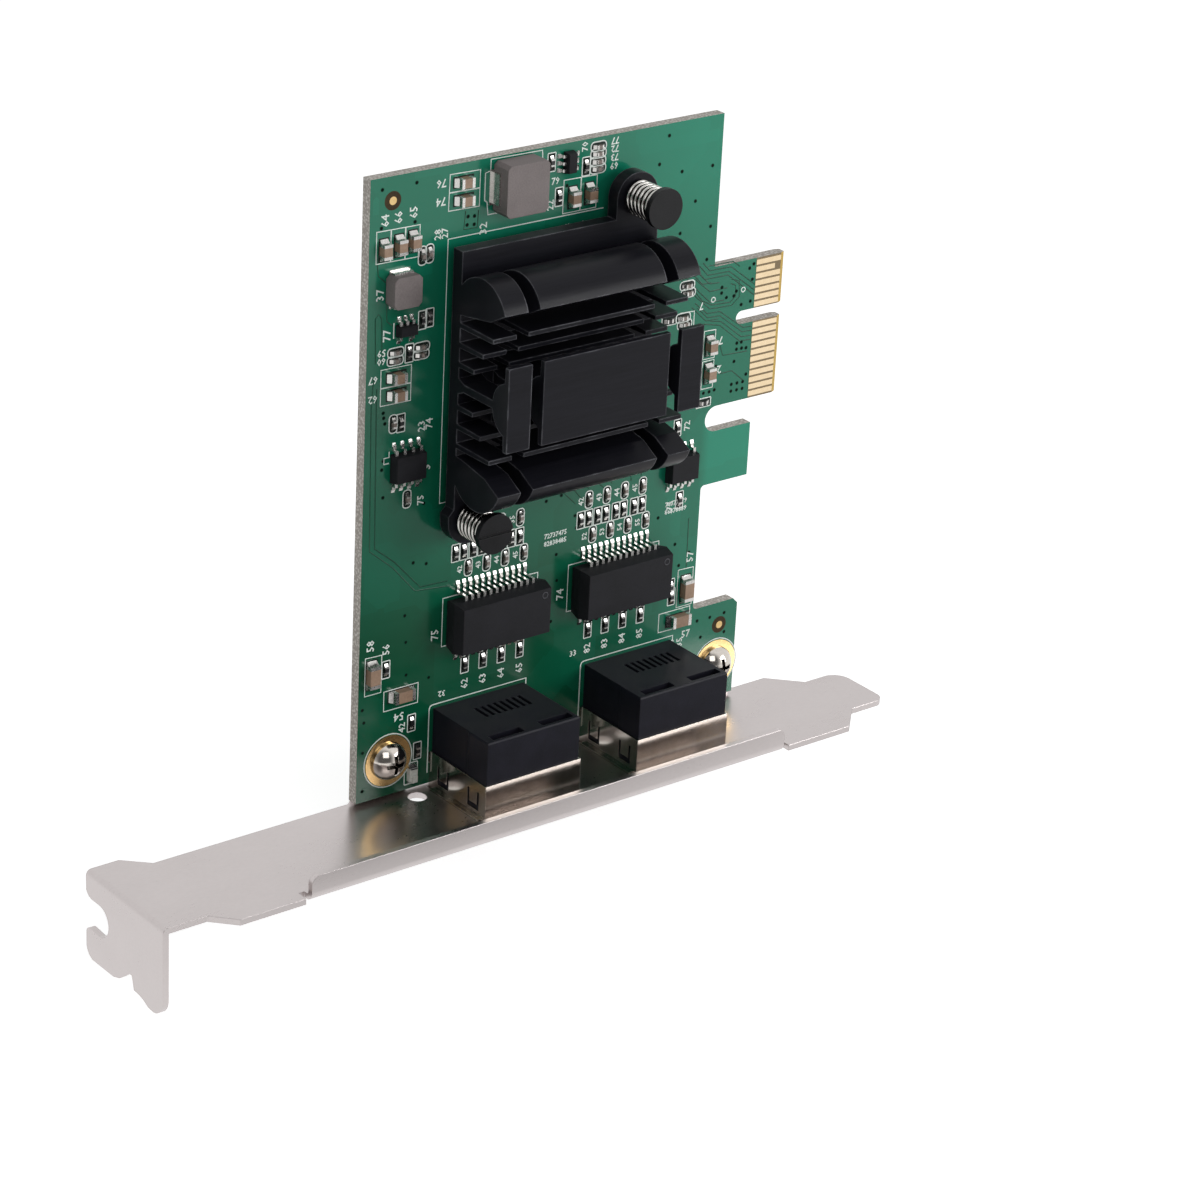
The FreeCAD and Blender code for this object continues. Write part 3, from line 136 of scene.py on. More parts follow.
SCREWS = [(-17.45, 6.6), (38.6, 6.6)]
SIGHTS = [(-19.07, 84.64), (38.96, 12.58)]

# From the small parts of the first port to those of the second.
PORT_STEP = 20.7
# Thin layers stand off the board by different amounts, so that none lies in another's face.
GAP_RISE, WINDOW_RISE, HOLE_RISE, CLEARANCE_RISE = 0.005, 0.007, 0.008, 0.009
PRINT_RISE, DIGIT_RISE = 0.014, 0.016
GAP_WIDTH = 0.2
# Radii of the rings printed round a screw and a ringed hole.
SCREW_RING, HOLE_RING = 3.85, 0.34
# Text size that gives a digit of height one, and how much bolder than the font it is printed.
FONT_SCALE, BOLDER = 1.38, 0.02


def plain(hex_text):
    """A #RRGGBB colour as the linear colour that the renderer works in."""
    parts = [int(hex_text[i:i + 2], 16) / 255 for i in (1, 3, 5)]
    return tuple(c / 12.92 if c <= 0.04045 else ((c + 0.055) / 1.055) ** 2.4
                 for c in parts) + (1.0,)


def add(tree, kind, inputs=None, **settings):
    """Adds one node; each input takes a value, or another node's output to link. By number, a Map
    Range has its value in 0 and its two ranges in 1 to 4, and a Mix has its share in 0, numbers in
    2 and 3 and colours in 6 and 7."""
    made = tree.nodes.new("ShaderNode" + kind)
    for key, value in settings.items():
        setattr(made, key, value)
    for key, value in (inputs or {}).items():
        if isinstance(value, bpy.types.NodeSocket):
            tree.links.new(value, made.inputs[key])
        else:
            made.inputs[key].default_value = value
    return made


def finish(name, colour, metallic, roughness, **sockets):
    """A new material with its Principled shader; returns the material, its tree and the shader."""
    made = bpy.data.materials.new(name)
    made.use_nodes = True
    tree = made.node_tree
    tree.nodes.clear()
    values = {"Base Color": plain(colour), "Metallic": metallic, "Roughness": roughness}
    values.update({key.replace("_", " "): value for key, value in sockets.items()})
    shader = add(tree, "BsdfPrincipled", values)
    add(tree, "OutputMaterial", {"Surface": shader.outputs[0]})
    return made, tree, shader


def grain(name, low, high, metallic, rough, size_mm, bump_mm, edge_mm=0.0, stretch=(1, 1, 1),
          **sockets):
    """A finish whose colour and gloss wander with a noise of a real size, and its relief."""
    made, tree, shader = finish(name, low, metallic, rough[0], **sockets)
    place = add(tree, "TexCoord").outputs["Object"]
    place = add(tree, "Mapping", {"Vector": place, "Scale": stretch}).outputs[0]
    # the grain itself, and clouds some 17 times as wide; their sum stays near one
    fine = add(tree, "TexNoise", {"Vector": place, "Scale": 1000 / size_mm, "Detail": 3.0})
    wide = add(tree, "TexNoise", {"Vector": place, "Scale": 60 / size_mm, "Detail": 2.0})
    both = add(tree, "Math", {0: fine.outputs["Fac"], 1: wide.outputs["Fac"]}, operation="ADD")
    share = add(tree, "MapRange", {0: both.outputs[0], 1: 0.7, 2: 1.3})
    tone = add(tree, "Mix", {0: share.outputs[0], 6: plain(low), 7: plain(high)}, data_type="RGBA")
    tree.links.new(tone.outputs[2], shader.inputs["Base Color"])
    gloss = add(tree, "MapRange", {0: both.outputs[0], 1: 0.7, 2: 1.3, 3: rough[0], 4: rough[1]})
    tree.links.new(gloss.outputs[0], shader.inputs["Roughness"])
    relief = {"Height": fine.outputs["Fac"], "Strength": 0.6, "Distance": bump_mm * MM}
    if edge_mm:
        round_edge = add(tree, "Bevel", {"Radius": edge_mm * MM}, samples=4)
        relief["Normal"] = round_edge.outputs[0]
    tree.links.new(add(tree, "Bump", relief).outputs[0], shader.inputs["Normal"])
    return made


def tinted(made, share, colours):
    """Colours a grained finish by a share between two colours, where None is its present one."""
    tree = made.node_tree
    shader = next(node for node in tree.nodes if node.type == "BSDF_PRINCIPLED")
    present = shader.inputs["Base Color"].links[0].from_socket
    low, high = [plain(one) if one else present for one in colours]
    tone = add(tree, "Mix", {0: share, 6: low, 7: high}, data_type="RGBA")
    tree.links.new(tone.outputs[2], shader.inputs["Base Color"])
    return made


def shade_painted_recess(made, reach_mm):
    """Painted shade: darkens a plated finish in narrow recesses, where little light gets in."""
    tree = made.node_tree
    # painted shade: where ambient occlusion finds the surface enclosed, the colour goes towards
    # near black #0C0B0A
    depth = add(tree, "AmbientOcclusion", {"Distance": reach_mm * MM}, samples=8)
    unshaded = add(tree, "MapRange", {0: depth.outputs["AO"], 1: 0.3, 2: 0.72, 3: 0.03, 4: 1.0})
    return tinted(made, unshaded.outputs[0], ("#0C0B0A", None))


def rubbed_and_highlit_edges(made, colour, reach_mm):
    """Sharp edges show paler, unevenly: a painted highlight along the edges, partly worn black."""
    tree = made.node_tree
    # near an edge the rounded normal leans away from the true one; noise says how far the pale edge
    # goes
    turned = add(tree, "Bevel", {"Radius": reach_mm * MM}, samples=6)
    true_way = add(tree, "NewGeometry").outputs["True Normal"]
    same = add(tree, "VectorMath", {0: turned.outputs[0], 1: true_way}, operation="DOT_PRODUCT")
    place = add(tree, "TexCoord").outputs["Object"]
    edge_noise = add(tree, "TexNoise", {"Vector": place, "Scale": 450.0, "Detail": 3.0})
    start = add(tree, "MapRange", {0: edge_noise.outputs["Fac"], 1: 0.38, 2: 0.62, 3: 0.3, 4: 0.93})
    pale_edge = add(tree, "MapRange",
               {0: same.outputs["Value"], 1: start.outputs[0], 2: 0.985, 3: 1.0, 4: 0.0})
    return tinted(made, pale_edge.outputs[0], (None, colour))


def board_finish():
    """Glass-epoxy laminate under glossy green solder mask; the routed edges show speckled resin."""
    look = bpy.context.scene.card_board
    made, tree, shader = finish("solder_mask_on_laminate", "#1C6B50", 0.0, 0.2,
                                Specular_IOR_Level=0.42)
    coords = add(tree, "TexCoord")
    place = coords.outputs["Object"]
    spot = add(tree, "SeparateXYZ", {0: place})
    # the mask is lighter along the top and towards the edge contacts, most on the locking hook, and
    # darkest round the transformers and jacks at the foot, except at its right end: partly copper
    # under the mask, partly painted light, with painted shade at the foot; copper also lightens it
    # in blocks about 9 mm wide
    x, z = 0, 2
    ramp = {}
    for name, axis, start, end, low, high in (
            ("top", z, 64, 80, 0.15, 0.42), ("right", x, 8, 31, 0.0, 0.25),
            ("foot", z, 24, 34, 0.16, 0.0), ("foot end", x, 27, 31, -1.0, 0.0),
            ("hook", x, 33.5, 35, 0.0, 0.35), ("hook top", z, 44.5, 45.5, 1.0, 0.0),
            ("hook foot", z, 28, 30, 0.0, 1.0)):
        ends = {0: spot.outputs[axis], 1: start * MM, 2: end * MM, 3: low, 4: high}
        ramp[name] = add(tree, "MapRange", ends).outputs[0]
    pour = add(tree, "TexVoronoi", {"Vector": place, "Scale": 110.0}, distance="CHEBYCHEV")
    pour = add(tree, "SeparateColor", {0: pour.outputs["Color"]})
    hook = add(tree, "Math", {0: ramp["hook"], 1: ramp["hook top"]}, operation="MULTIPLY")
    copper_and_painted_light = ramp["top"]
    for value, factor in ((pour.outputs[0], 0.12), (ramp["right"], 1.0),
                          (ramp["foot"], ramp["foot end"]),
                          (hook.outputs[0], ramp["hook foot"])):
        copper_and_painted_light = add(tree, "Math", {0: value, 1: factor, 2: copper_and_painted_light},
                     operation="MULTIPLY_ADD").outputs[0]
    # the two mask colours mixed by this share of copper together with painted light and shade
    mask = add(tree, "Mix", {0: copper_and_painted_light, 6: tuple(look.mask_dark) + (1,),
                             7: tuple(look.mask_light) + (1,)}, data_type="RGBA")
    # cut glass fibres: flecks of about 0.4 mm in a grey resin
    fleck = add(tree, "TexVoronoi", {"Vector": place, "Scale": 2600.0})
    fleck = add(tree, "MapRange", {0: fleck.outputs["Distance"], 1: 0.25, 2: 0.6})
    routed = add(tree, "Mix", {0: fleck.outputs[0], 6: plain("#DEDAD3"), 7: plain("#B1ABA3")},
                 data_type="RGBA")
    # the bevelled edge of the contact tongues shows bare brownish laminate
    facing = add(tree, "SeparateXYZ", {0: coords.outputs["Normal"]})
    facing = add(tree, "Math", {0: facing.outputs[1]}, operation="ABSOLUTE")
    flat = add(tree, "Math", {0: facing.outputs[0], 1: 0.95}, operation="GREATER_THAN")
    slant = add(tree, "Math", {0: facing.outputs[0], 1: 0.08}, operation="GREATER_THAN")
    edge = add(tree, "Mix", {0: slant.outputs[0], 6: routed.outputs[2], 7: plain("#B99A4E")},
               data_type="RGBA")
    # between the contacts, right of x 41.4 and over z 45, the mask is left off brown laminate
    right = add(tree, "Math", {0: spot.outputs[x], 1: 0.0414}, operation="GREATER_THAN")
    over = add(tree, "Math", {0: spot.outputs[z], 1: 0.045}, operation="GREATER_THAN")
    bare = add(tree, "Math", {0: right.outputs[0], 1: over.outputs[0]}, operation="MULTIPLY")
    face = add(tree, "Mix", {0: bare.outputs[0], 6: mask.outputs[2], 7: plain("#7C6A4C")},
               data_type="RGBA")
    tone = add(tree, "Mix", {0: flat.outputs[0], 6: edge.outputs[2], 7: face.outputs[2]},
               data_type="RGBA")
    tree.links.new(tone.outputs[2], shader.inputs["Base Color"])
    gloss = add(tree, "MapRange", {0: flat.outputs[0], 3: 0.75, 4: look.mask_gloss})
    tree.links.new(gloss.outputs[0], shader.inputs["Roughness"])
    # the mask flows to low waves about 1.4 mm long
    skin = add(tree, "TexNoise", {"Vector": place, "Scale": 700.0, "Detail": 2.0})
    skin = add(tree, "Bump",
               {"Height": skin.outputs["Fac"], "Strength": 0.25, "Distance": 0.02 * MM})
    tree.links.new(skin.outputs[0], shader.inputs["Normal"])
    return made


def at(x, z, y=0.0):
    """The matrix of a place in millimetres."""
    return Matrix.Translation((x * MM, y * MM, z * MM))


def select_only(*chosen):
    """Goes to object mode and selects only these objects, with the first of them active."""
    if bpy.context.object and bpy.context.object.mode != "OBJECT":
        bpy.ops.object.mode_set(mode="OBJECT")
    bpy.ops.object.select_all(action="DESELECT")
    for one in chosen:
        one.select_set(True)
    if chosen:
        bpy.context.view_layer.objects.active = chosen[0]


def take(name):
    """Names the active object, settles its place in its mesh and returns it."""
    made = bpy.context.object
    made.name = name
    made.data.name = name
    bpy.ops.object.transform_apply(location=True, rotation=True, scale=True)
    return made


def edit(obj, chosen, kind="FACE"):
    """Enters edit mode with only the faces, edges or vertices selected that chosen picks by their
    centre and normal; an edge has no normal."""
    select_only(obj)
    bpy.ops.object.mode_set(mode="EDIT")
    bpy.ops.mesh.select_mode(type=kind)
    bpy.ops.mesh.select_all(action="DESELECT")
    mesh = bmesh.from_edit_mesh(obj.data)
    if kind == "FACE":
        for one in mesh.faces:
            one.select_set(chosen(one.calc_center_median(), one.normal))
    elif kind == "EDGE":
        for one in mesh.edges:
            one.select_set(chosen((one.verts[0].co + one.verts[1].co) / 2, None))
    else:
        for one in mesh.verts:
            one.select_set(chosen(one.co, one.normal))
    mesh.select_flush_mode()
    bmesh.update_edit_mesh(obj.data)


def raised(name, rise):
    """Raises the flat primitive just added off the board and returns it, still in edit mode."""
    pad = take(name)
    edit(pad, lambda centre, normal: True)
    bpy.ops.mesh.extrude_region_move(TRANSFORM_OT_translate={"value": (0, -rise * MM, 0)})
    return pad


def coat(piece, look):
    """Covers a piece with one finish."""
    piece.data.materials.clear()
    piece.data.materials.append(look)


def dress(look, *names):
    """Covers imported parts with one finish."""
    for name in names:
        coat(nodes[name], look)


def hand_over(piece, look, smooth):
    """Covers a new piece, unless it has finishes of its own, and lets it ride with the card."""
    if look:
        coat(piece, look)
    if smooth:
        select_only(piece)
        bpy.ops.object.shade_smooth_by_angle(angle=math.radians(35))
    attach(piece, "root")


def copies(pattern, name, places, look=None, smooth=True):
    """Copies one modelled pattern to each place, joins the copies and hands the piece over."""
    select_only()
    made = []
    for matrix in places:
        one = pattern.copy()
        one.data = pattern.data.copy()
        one.data.transform(matrix)
        bpy.context.scene.collection.objects.link(one)
        made.append(one)
    bpy.data.objects.remove(pattern)
    select_only(*made)
    bpy.ops.object.join()
    hand_over(take(name), look, smooth)


def ribbons(name, lines, width, rise, look):
    """Low bands that lie on the board's face along open or closed lines, drawn as one curve."""
    select_only()
    bpy.ops.curve.primitive_nurbs_path_add(location=(0, 0, 0))
    curve = bpy.context.object.data
    curve.splines.clear()
    for points, closed in lines:
        spline = curve.splines.new("POLY")
        spline.points.add(len(points) - 1)
        for point, (x, z) in zip(spline.points, points):
            point.co = (x * MM, 0.0, z * MM, 1.0)
        spline.use_cyclic_u = closed
    curve.bevel_depth = width / 2 * MM
    curve.bevel_resolution = 1
    curve.use_fill_caps = True
    bpy.ops.object.convert(target="MESH")
    bpy.context.object.scale = (1.0, rise / (width / 2), 1.0)
    hand_over(take(name), look, False)


def solids_of(name):
    """Corner pairs, in millimetres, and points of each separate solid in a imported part."""
    mesh = nodes[name].data
    keys = [tuple(round(c * 1e6) for c in v.co) for v in mesh.vertices]
    home = {key: key for key in keys}

    def top(key):
        while home[key] != key:
            home[key] = home[home[key]]
            key = home[key]
        return key

    for polygon in mesh.polygons:
        first = top(keys[polygon.vertices[0]])
        for i in polygon.vertices[1:]:
            home[top(keys[i])] = first
    groups = {}
    for key in home:
        groups.setdefault(top(key), []).append(Vector(key) / 1000)
    found = []
    for points in groups.values():
        low = Vector([min(p[i] for p in points) for i in range(3)])
        high = Vector([max(p[i] for p in points) for i in range(3)])
        found.append((low, high, points))
    return sorted(found, key=lambda one: (round(one[0].x, 2), round(one[0].z, 2)))


def chips(family):
    """Each chip part as its two corners and whether it lies along x, its two ends included."""
    found = []
    ends = solids_of(family + "_ends")
    reach = Vector((0.06, 0.06, 0.06))
    for low, high, _ in solids_of(family + "_bodies"):
        near_low, near_high = low - reach, high + reach
        for a, b, _ in ends:
            if all(a[i] <= near_high[i] and b[i] >= near_low[i] for i in range(3)):
                low = Vector([min(low[i], a[i]) for i in range(3)])
                high = Vector([max(high[i], b[i]) for i in range(3)])
        found.append((low, high, high.x - low.x > high.z - low.z))
    return found


def rounded(low, high, past_x, past_z, radius, steps):
    """Points of a rectangle with round corners that stands past a part on the board."""
    x0, x1, z0, z1 = low.x - past_x, high.x + past_x, low.z - past_z, high.z + past_z
    points = []
    for cx, cz, start in ((x1 - radius, z1 - radius, 0), (x0 + radius, z1 - radius, 90),
                          (x0 + radius, z0 + radius, 180), (x1 - radius, z0 + radius, 270)):
        for i in range(steps + 1):
            a = math.radians(start + 90 * i / steps)
            points.append((cx + radius * math.cos(a), cz + radius * math.sin(a)))
    return points


def solder_fillet(name):
    """A block of solder of one unit each way, whose top slopes down along x to a thin foot."""
    select_only()
    bpy.ops.mesh.primitive_cube_add(size=1, location=(0.5, -0.5, 0))
    pattern = take(name)
    # the far top edge goes down, the sides are rounded, and the slope sags in its middle
    edit(pattern, lambda centre, normal: centre.x > 0.9 and centre.y < -0.9, "EDGE")
    bpy.ops.transform.translate(value=(0, 0.86, 0))
    edit(pattern, lambda centre, normal: centre.y < -0.05 and abs(centre.z) > 0.4, "EDGE")
    bpy.ops.mesh.bevel(offset=0.16, segments=2, affect="EDGES")
    edit(pattern, lambda centre, normal: normal.y < -0.3 and abs(centre.z) < 0.3)
    bpy.ops.mesh.subdivide(number_cuts=1)
    edit(pattern, lambda centre, normal: 0.3 < centre.x < 0.7 and centre.y < -0.2, "VERT")
    bpy.ops.transform.translate(value=(0, 0.13, 0))
    bpy.ops.object.mode_set(mode="OBJECT")
    return pattern


def outward(x, z, way, long, tall, wide):
    """Stands the fillet at a point with its slope falling away along way."""
    angle = {"+x": 0.0, "-x": math.pi, "+z": -math.pi / 2, "-z": math.pi / 2}[way]
    size = Matrix.Diagonal((long * MM, tall * MM, wide * MM, 1))
    return at(x, z) @ Matrix.Rotation(angle, 4, "Y") @ size


class CardBoardLook(bpy.types.PropertyGroup):
    """The board's solder mask and print"""
    mask_light: bpy.props.FloatVectorProperty(
        name="Mask over copper", description="Solder mask where copper lies under it",
        subtype="COLOR", size=3, default=plain("#1A8C70")[:3])
    mask_dark: bpy.props.FloatVectorProperty(
        name="Mask over laminate", description="Solder mask where no copper lies under it",
        subtype="COLOR", size=3, default=plain("#084A31")[:3])
    mask_gloss: bpy.props.FloatProperty(
        name="Mask roughness", description="Roughness of the solder mask",
        default=0.16, min=0.0, max=1.0, subtype="FACTOR")
    print_width: bpy.props.FloatProperty(
        name="Print width", description="Width of a printed line",
        default=0.2 * MM, min=0.05 * MM, max=0.5 * MM, precision=5, unit="LENGTH")
    number_height: bpy.props.FloatProperty(
        name="Number size", description="Share of the listed height of each number",
        default=0.8, min=0.2, max=2.0, subtype="FACTOR")


class CardStageLook(bpy.types.PropertyGroup):
    """The floor, the lights, the room and the camera"""
    floor_colour: bpy.props.FloatVectorProperty(
        name="Floor", description="Colour of the floor",
        subtype="COLOR", size=3, default=plain("#F4F4F4")[:3])
    key_power: bpy.props.FloatProperty(
        name="Key light", description="Power of the soft key light",
        default=1.15, min=0.0, max=200.0, unit="POWER")
    fill_power: bpy.props.FloatProperty(
        name="Fill light", description="Power of the soft front light",
        default=1.15, min=0.0, max=200.0, unit="POWER")
    sky_strength: bpy.props.FloatProperty(
        name="Room light", description="Strength of the even light of the room",
        default=0.38, min=0.0, max=2.0)
    table_glow: bpy.props.FloatProperty(
        name="Lit table", description="Brightness of the open table, as gloss sees it",
        default=1.08, min=0.0, max=4.0)
    lens: bpy.props.FloatProperty(
        name="Lens", description="Focal length of the camera",
        default=114.06, min=20.0, max=300.0, unit="CAMERA")


class CARD_OT_laminate(bpy.types.Operator):
    """Finishes the circuit board, its gold contacts, screw pads and sighting dots"""
    bl_idname = "card.laminate"
    bl_label = "Board and contacts"

    def execute(self, context):
        dress(board_finish(), "circuit_board")
        # hard gold plate over nickel: warm, softly bright, with faint plating streaks
        dress(grain("hard_gold_plate", "#E6CFA9", "#EED8B5", 1.0, (0.18, 0.26), 0.6, 0.0012),
              "edge_contacts_front", "edge_contacts_back")
        # thin immersion gold on the pads, a deeper yellow
        dress(grain("immersion_gold", "#CFAE74", "#DDBE88", 1.0, (0.16, 0.26), 0.5, 0.0012),
              "screw_pads", "sighting_dots")
        return {"FINISHED"}


class CARD_OT_metalwork(bpy.types.Operator):
    """Finishes the bracket, screws, jack shields and contacts, and springs"""
    bl_idname = "card.metalwork"
    bl_label = "Bracket and metal parts"

    def execute(self, context):
        # cold-rolled steel with bright nickel plate: mirrors what is near, greyer for the room
        dress(grain("nickel_plated_steel", "#C2BBBA", "#C8C1C0", 1.0, (0.27, 0.33), 0.35, 0.0008,
                    edge_mm=0.15, stretch=(0.5, 1, 1)), "bracket")
        # thin tinned brass with tool marks and a cloudy sheen
        dress(grain("tinned_brass_shield", "#ABA59D", "#C2BCB4", 1.0, (0.13, 0.17), 1.4, 0.0004,
                    edge_mm=0.08), "jack_shields")
        # machine screws, bright nickel on steel
        screw = grain("bright_nickel_screw", "#C9C2BA", "#D8D1C9", 1.0, (0.08, 0.14), 0.25, 0.002,
                      edge_mm=0.12)
        # painted shade darkens the screws' cross recesses
        dress(shade_painted_recess(screw, 0.9), "bracket_screws")
        # spring wire, bright from the drawing die, with painted shade between its turns
        wire = grain("drawn_spring_wire", "#B4B1AD", "#CBC8C4", 1.0, (0.1, 0.16), 0.15, 0.002)
        dress(shade_painted_recess(wire, 0.7), "pin_springs")
        # selectively gold-plated phosphor bronze
        dress(grain("gold_plated_bronze", "#D9B268", "#E6C585", 1.0, (0.2, 0.3), 0.2, 0.003),
              "jack_contacts")
        return {"FINISHED"}


class CARD_OT_heat_sink(bpy.types.Operator):
    """Finishes the heat sink, its thermal pad and its two push pins"""
    bl_idname = "card.heat_sink"
    bl_label = "Heat sink and pins"

    def execute(self, context):
        # extruded aluminium, black anodised: satin, with faint die lines along its length
        black = grain("black_anodised_aluminium", "#131318", "#19191F", 0.0, (0.28, 0.38), 0.22,
                      0.006, edge_mm=0.16, stretch=(0.04, 1, 1), Specular_IOR_Level=0.12)
        # paler edges in #5C5D62: painted highlight where the edges catch light, partly worn
        # anodising
        dress(rubbed_and_highlit_edges(black, "#5C5D62", 0.32), "heat_sink")
        # moulded nylon, satin from the tool
        dress(grain("moulded_black_nylon", "#0D0D0F", "#151518", 0.0, (0.3, 0.42), 0.2, 0.01,
                    edge_mm=0.12, Specular_IOR_Level=0.2), "push_pins")
        # filled silicone: grey and matt
        dress(grain("silicone_thermal_pad", "#8C8A88", "#A3A09D", 0.0, (0.6, 0.8), 0.3, 0.02),
              "thermal_pad")
        return {"FINISHED"}


class CARD_OT_jacks(bpy.types.Operator):
    """Finishes the jack housings and the port lights"""
    bl_idname = "card.jacks"
    bl_label = "Jack housings"

    def execute(self, context):
        # glass-filled thermoplastic: near black, finely pitted by the tool
        dress(grain("glass_filled_thermoplastic", "#15151C", "#1D1D26", 0.0, (0.34, 0.46), 0.18,
                    0.012, edge_mm=0.12, Specular_IOR_Level=0.12), "jack_housings")
        # milky cast resin over a small lead frame
        dress(grain("milky_lamp_resin", "#C9CBC4", "#EDEEE8", 0.0, (0.2, 0.3), 0.2, 0.004),
              "port_lights")
        return {"FINISHED"}


class CARD_OT_packages(bpy.types.Operator):
    """Finishes the transformers, chips, inductors and their leads"""
    bl_idname = "card.packages"
    bl_label = "Chips and transformers"

    def execute(self, context):
        # transfer-moulded epoxy with silica filler: dark slate, finely matt
        dress(grain("moulded_epoxy", "#1A1A1D", "#232327", 0.0, (0.5, 0.64), 0.16, 0.012,
                    edge_mm=0.12, Specular_IOR_Level=0.15), "isolation_modules")
        dress(grain("moulded_epoxy_small", "#17171A", "#202024", 0.0, (0.45, 0.6), 0.14, 0.01,
                    edge_mm=0.08, Specular_IOR_Level=0.15),
              "controller_chip", "memory_chips", "power_chips")
        # pressed iron powder: warm grey with a sandy face
        dress(grain("pressed_iron_powder", "#6A6261", "#7C7473", 0.0, (0.6, 0.75), 0.22, 0.03,
                    edge_mm=0.15), "large_inductor", "small_inductor")
        # reflowed matt tin over copper
        dress(grain("matt_tin_plate", "#BFBDBA", "#DAD8D5", 1.0, (0.2, 0.34), 0.2, 0.006),
              "isolation_module_leads", "memory_chip_leads", "power_chip_leads",
              "large_inductor_terminals", "small_inductor_terminals", "filter_capacitor_ends",
              "bulk_capacitor_ends", "bypass_capacitor_ends", "resistor_ends")
        # moulded marks for the first pin: a shallow round rim near one corner of each block
        select_only()
        bpy.ops.mesh.primitive_torus_add(major_radius=0.42 * MM, minor_radius=0.09 * MM,
                                         major_segments=24, minor_segments=6, rotation=UPRIGHT)
        mark = grain("ejector_polished_epoxy", "#35353A", "#424248", 0.0, (0.3, 0.4), 0.2, 0.004)
        copies(take("dimple_pattern"), "first_pin_marks",
               [at(high.x - 1.35, high.z - 1.25, low.y + 0.02)
                for low, high, _ in solids_of("isolation_modules")], mark)
        return {"FINISHED"}


class CARD_OT_chip_parts(bpy.types.Operator):
    """Finishes the middles of the capacitors and resistors"""
    bl_idname = "card.chip_parts"
    bl_label = "Capacitors and resistors"

    def execute(self, context):
        # fired ceramic, its edges rounded in the barrel: each body a slightly different brown
        dress(grain("barium_titanate_ceramic", "#836A57", "#9A806B", 0.0, (0.4, 0.55), 0.35, 0.01,
                    edge_mm=0.08), "filter_capacitor_bodies", "bulk_capacitor_bodies")
        dress(grain("fired_grey_ceramic", "#6F6660", "#8B8079", 0.0, (0.45, 0.6), 0.25, 0.008,
                    edge_mm=0.05), "bypass_capacitor_bodies")
        # alumina under black overglaze
        dress(grain("black_overglaze", "#141415", "#1E1E20", 0.0, (0.3, 0.45), 0.2, 0.006,
                    edge_mm=0.05), "resistor_bodies")
        return {"FINISHED"}


class CARD_OT_etching(bpy.types.Operator):
    """Lays the etched gaps, the bare windows and the plated holes on the board"""
    bl_idname = "card.etching"
    bl_label = "Traces and holes"

    def execute(self, context):
        # mask sagging into an etched gap looks darker and a touch bluer than over copper
        gap = grain("mask_in_etched_gap", "#07402D", "#094A35", 0.0, (0.3, 0.38), 0.4, 0.004,
                    Specular_IOR_Level=0.3)
        ribbons("etched_gaps", [(points, False) for points in ETCHED_GAPS], GAP_WIDTH, GAP_RISE,
                gap)
        # plated holes 0.56 mm across: a ring of thin mask round a black throat
        ring = grain("thin_mask_on_ring", "#083E2C", "#0B4A35", 0.0, (0.2, 0.3), 0.3, 0.003,
                     Specular_IOR_Level=0.2)
        throat = grain("unlit_hole_throat", "#03100B", "#05150F", 0.0, (0.5, 0.7), 0.3, 0.002,
                       Specular_IOR_Level=0.03)
        select_only()
        bpy.ops.mesh.primitive_circle_add(vertices=14, radius=0.28 * MM, fill_type="NGON",
                                          rotation=UPRIGHT)
        hole = raised("hole_pattern", HOLE_RISE)
        bpy.ops.mesh.inset(thickness=0.06 * MM)
        bpy.ops.object.mode_set(mode="OBJECT")
        front = min(v.co.y for v in hole.data.vertices)
        for polygon in hole.data.polygons:
            middle = math.hypot(polygon.center.x, polygon.center.z) < 0.05 * MM
            polygon.material_index = int(middle and polygon.center.y < front + 1e-7)
        hole.data.materials.append(ring)
        hole.data.materials.append(throat)
        copies(hole, "plated_holes", [at(*spot) for spot in HOLES], smooth=False)
        # dark windows in the mask, past the sides and ends of the small parts, where the
        # flux-stained laminate shows
        select_only()
        bpy.ops.mesh.primitive_plane_add(size=1, rotation=UPRIGHT)
        window = raised("window_pattern", WINDOW_RISE)
        places = []
        for family, side, end in (("resistor", 0.3, 0.7), ("bypass_capacitor", 0.28, 0.65),
                                  ("bulk_capacitor", 0.14, 0.6), ("filter_capacitor", 0.12, 0.6)):
            for low, high, along in chips(family):
                past_x, past_z = (end, side) if along else (side, end)
                places.append(at((low.x + high.x) / 2, (low.z + high.z) / 2) @ Matrix.Diagonal(
                    ((high.x - low.x + past_x * 2) * MM, 1, (high.z - low.z + past_z * 2) * MM, 1)))
        dark = grain("bare_stained_laminate", "#0B1A15", "#14241D", 0.0, (0.4, 0.6), 0.2, 0.004,
                     Specular_IOR_Level=0.2)
        copies(window, "mask_windows", places, dark, smooth=False)
        # brown clearance rings round the sighting dots
        select_only()
        bpy.ops.mesh.primitive_circle_add(vertices=32, radius=1.25 * MM, fill_type="NGON",
                                          rotation=UPRIGHT)
        brown = grain("unmasked_laminate", "#2E2415", "#463722", 0.0, (0.45, 0.6), 0.25, 0.006,
                      Specular_IOR_Level=0.15)
        copies(raised("clearance_pattern", CLEARANCE_RISE), "sighting_clearances",
               [at(*spot) for spot in SIGHTS], brown, smooth=False)
        return {"FINISHED"}


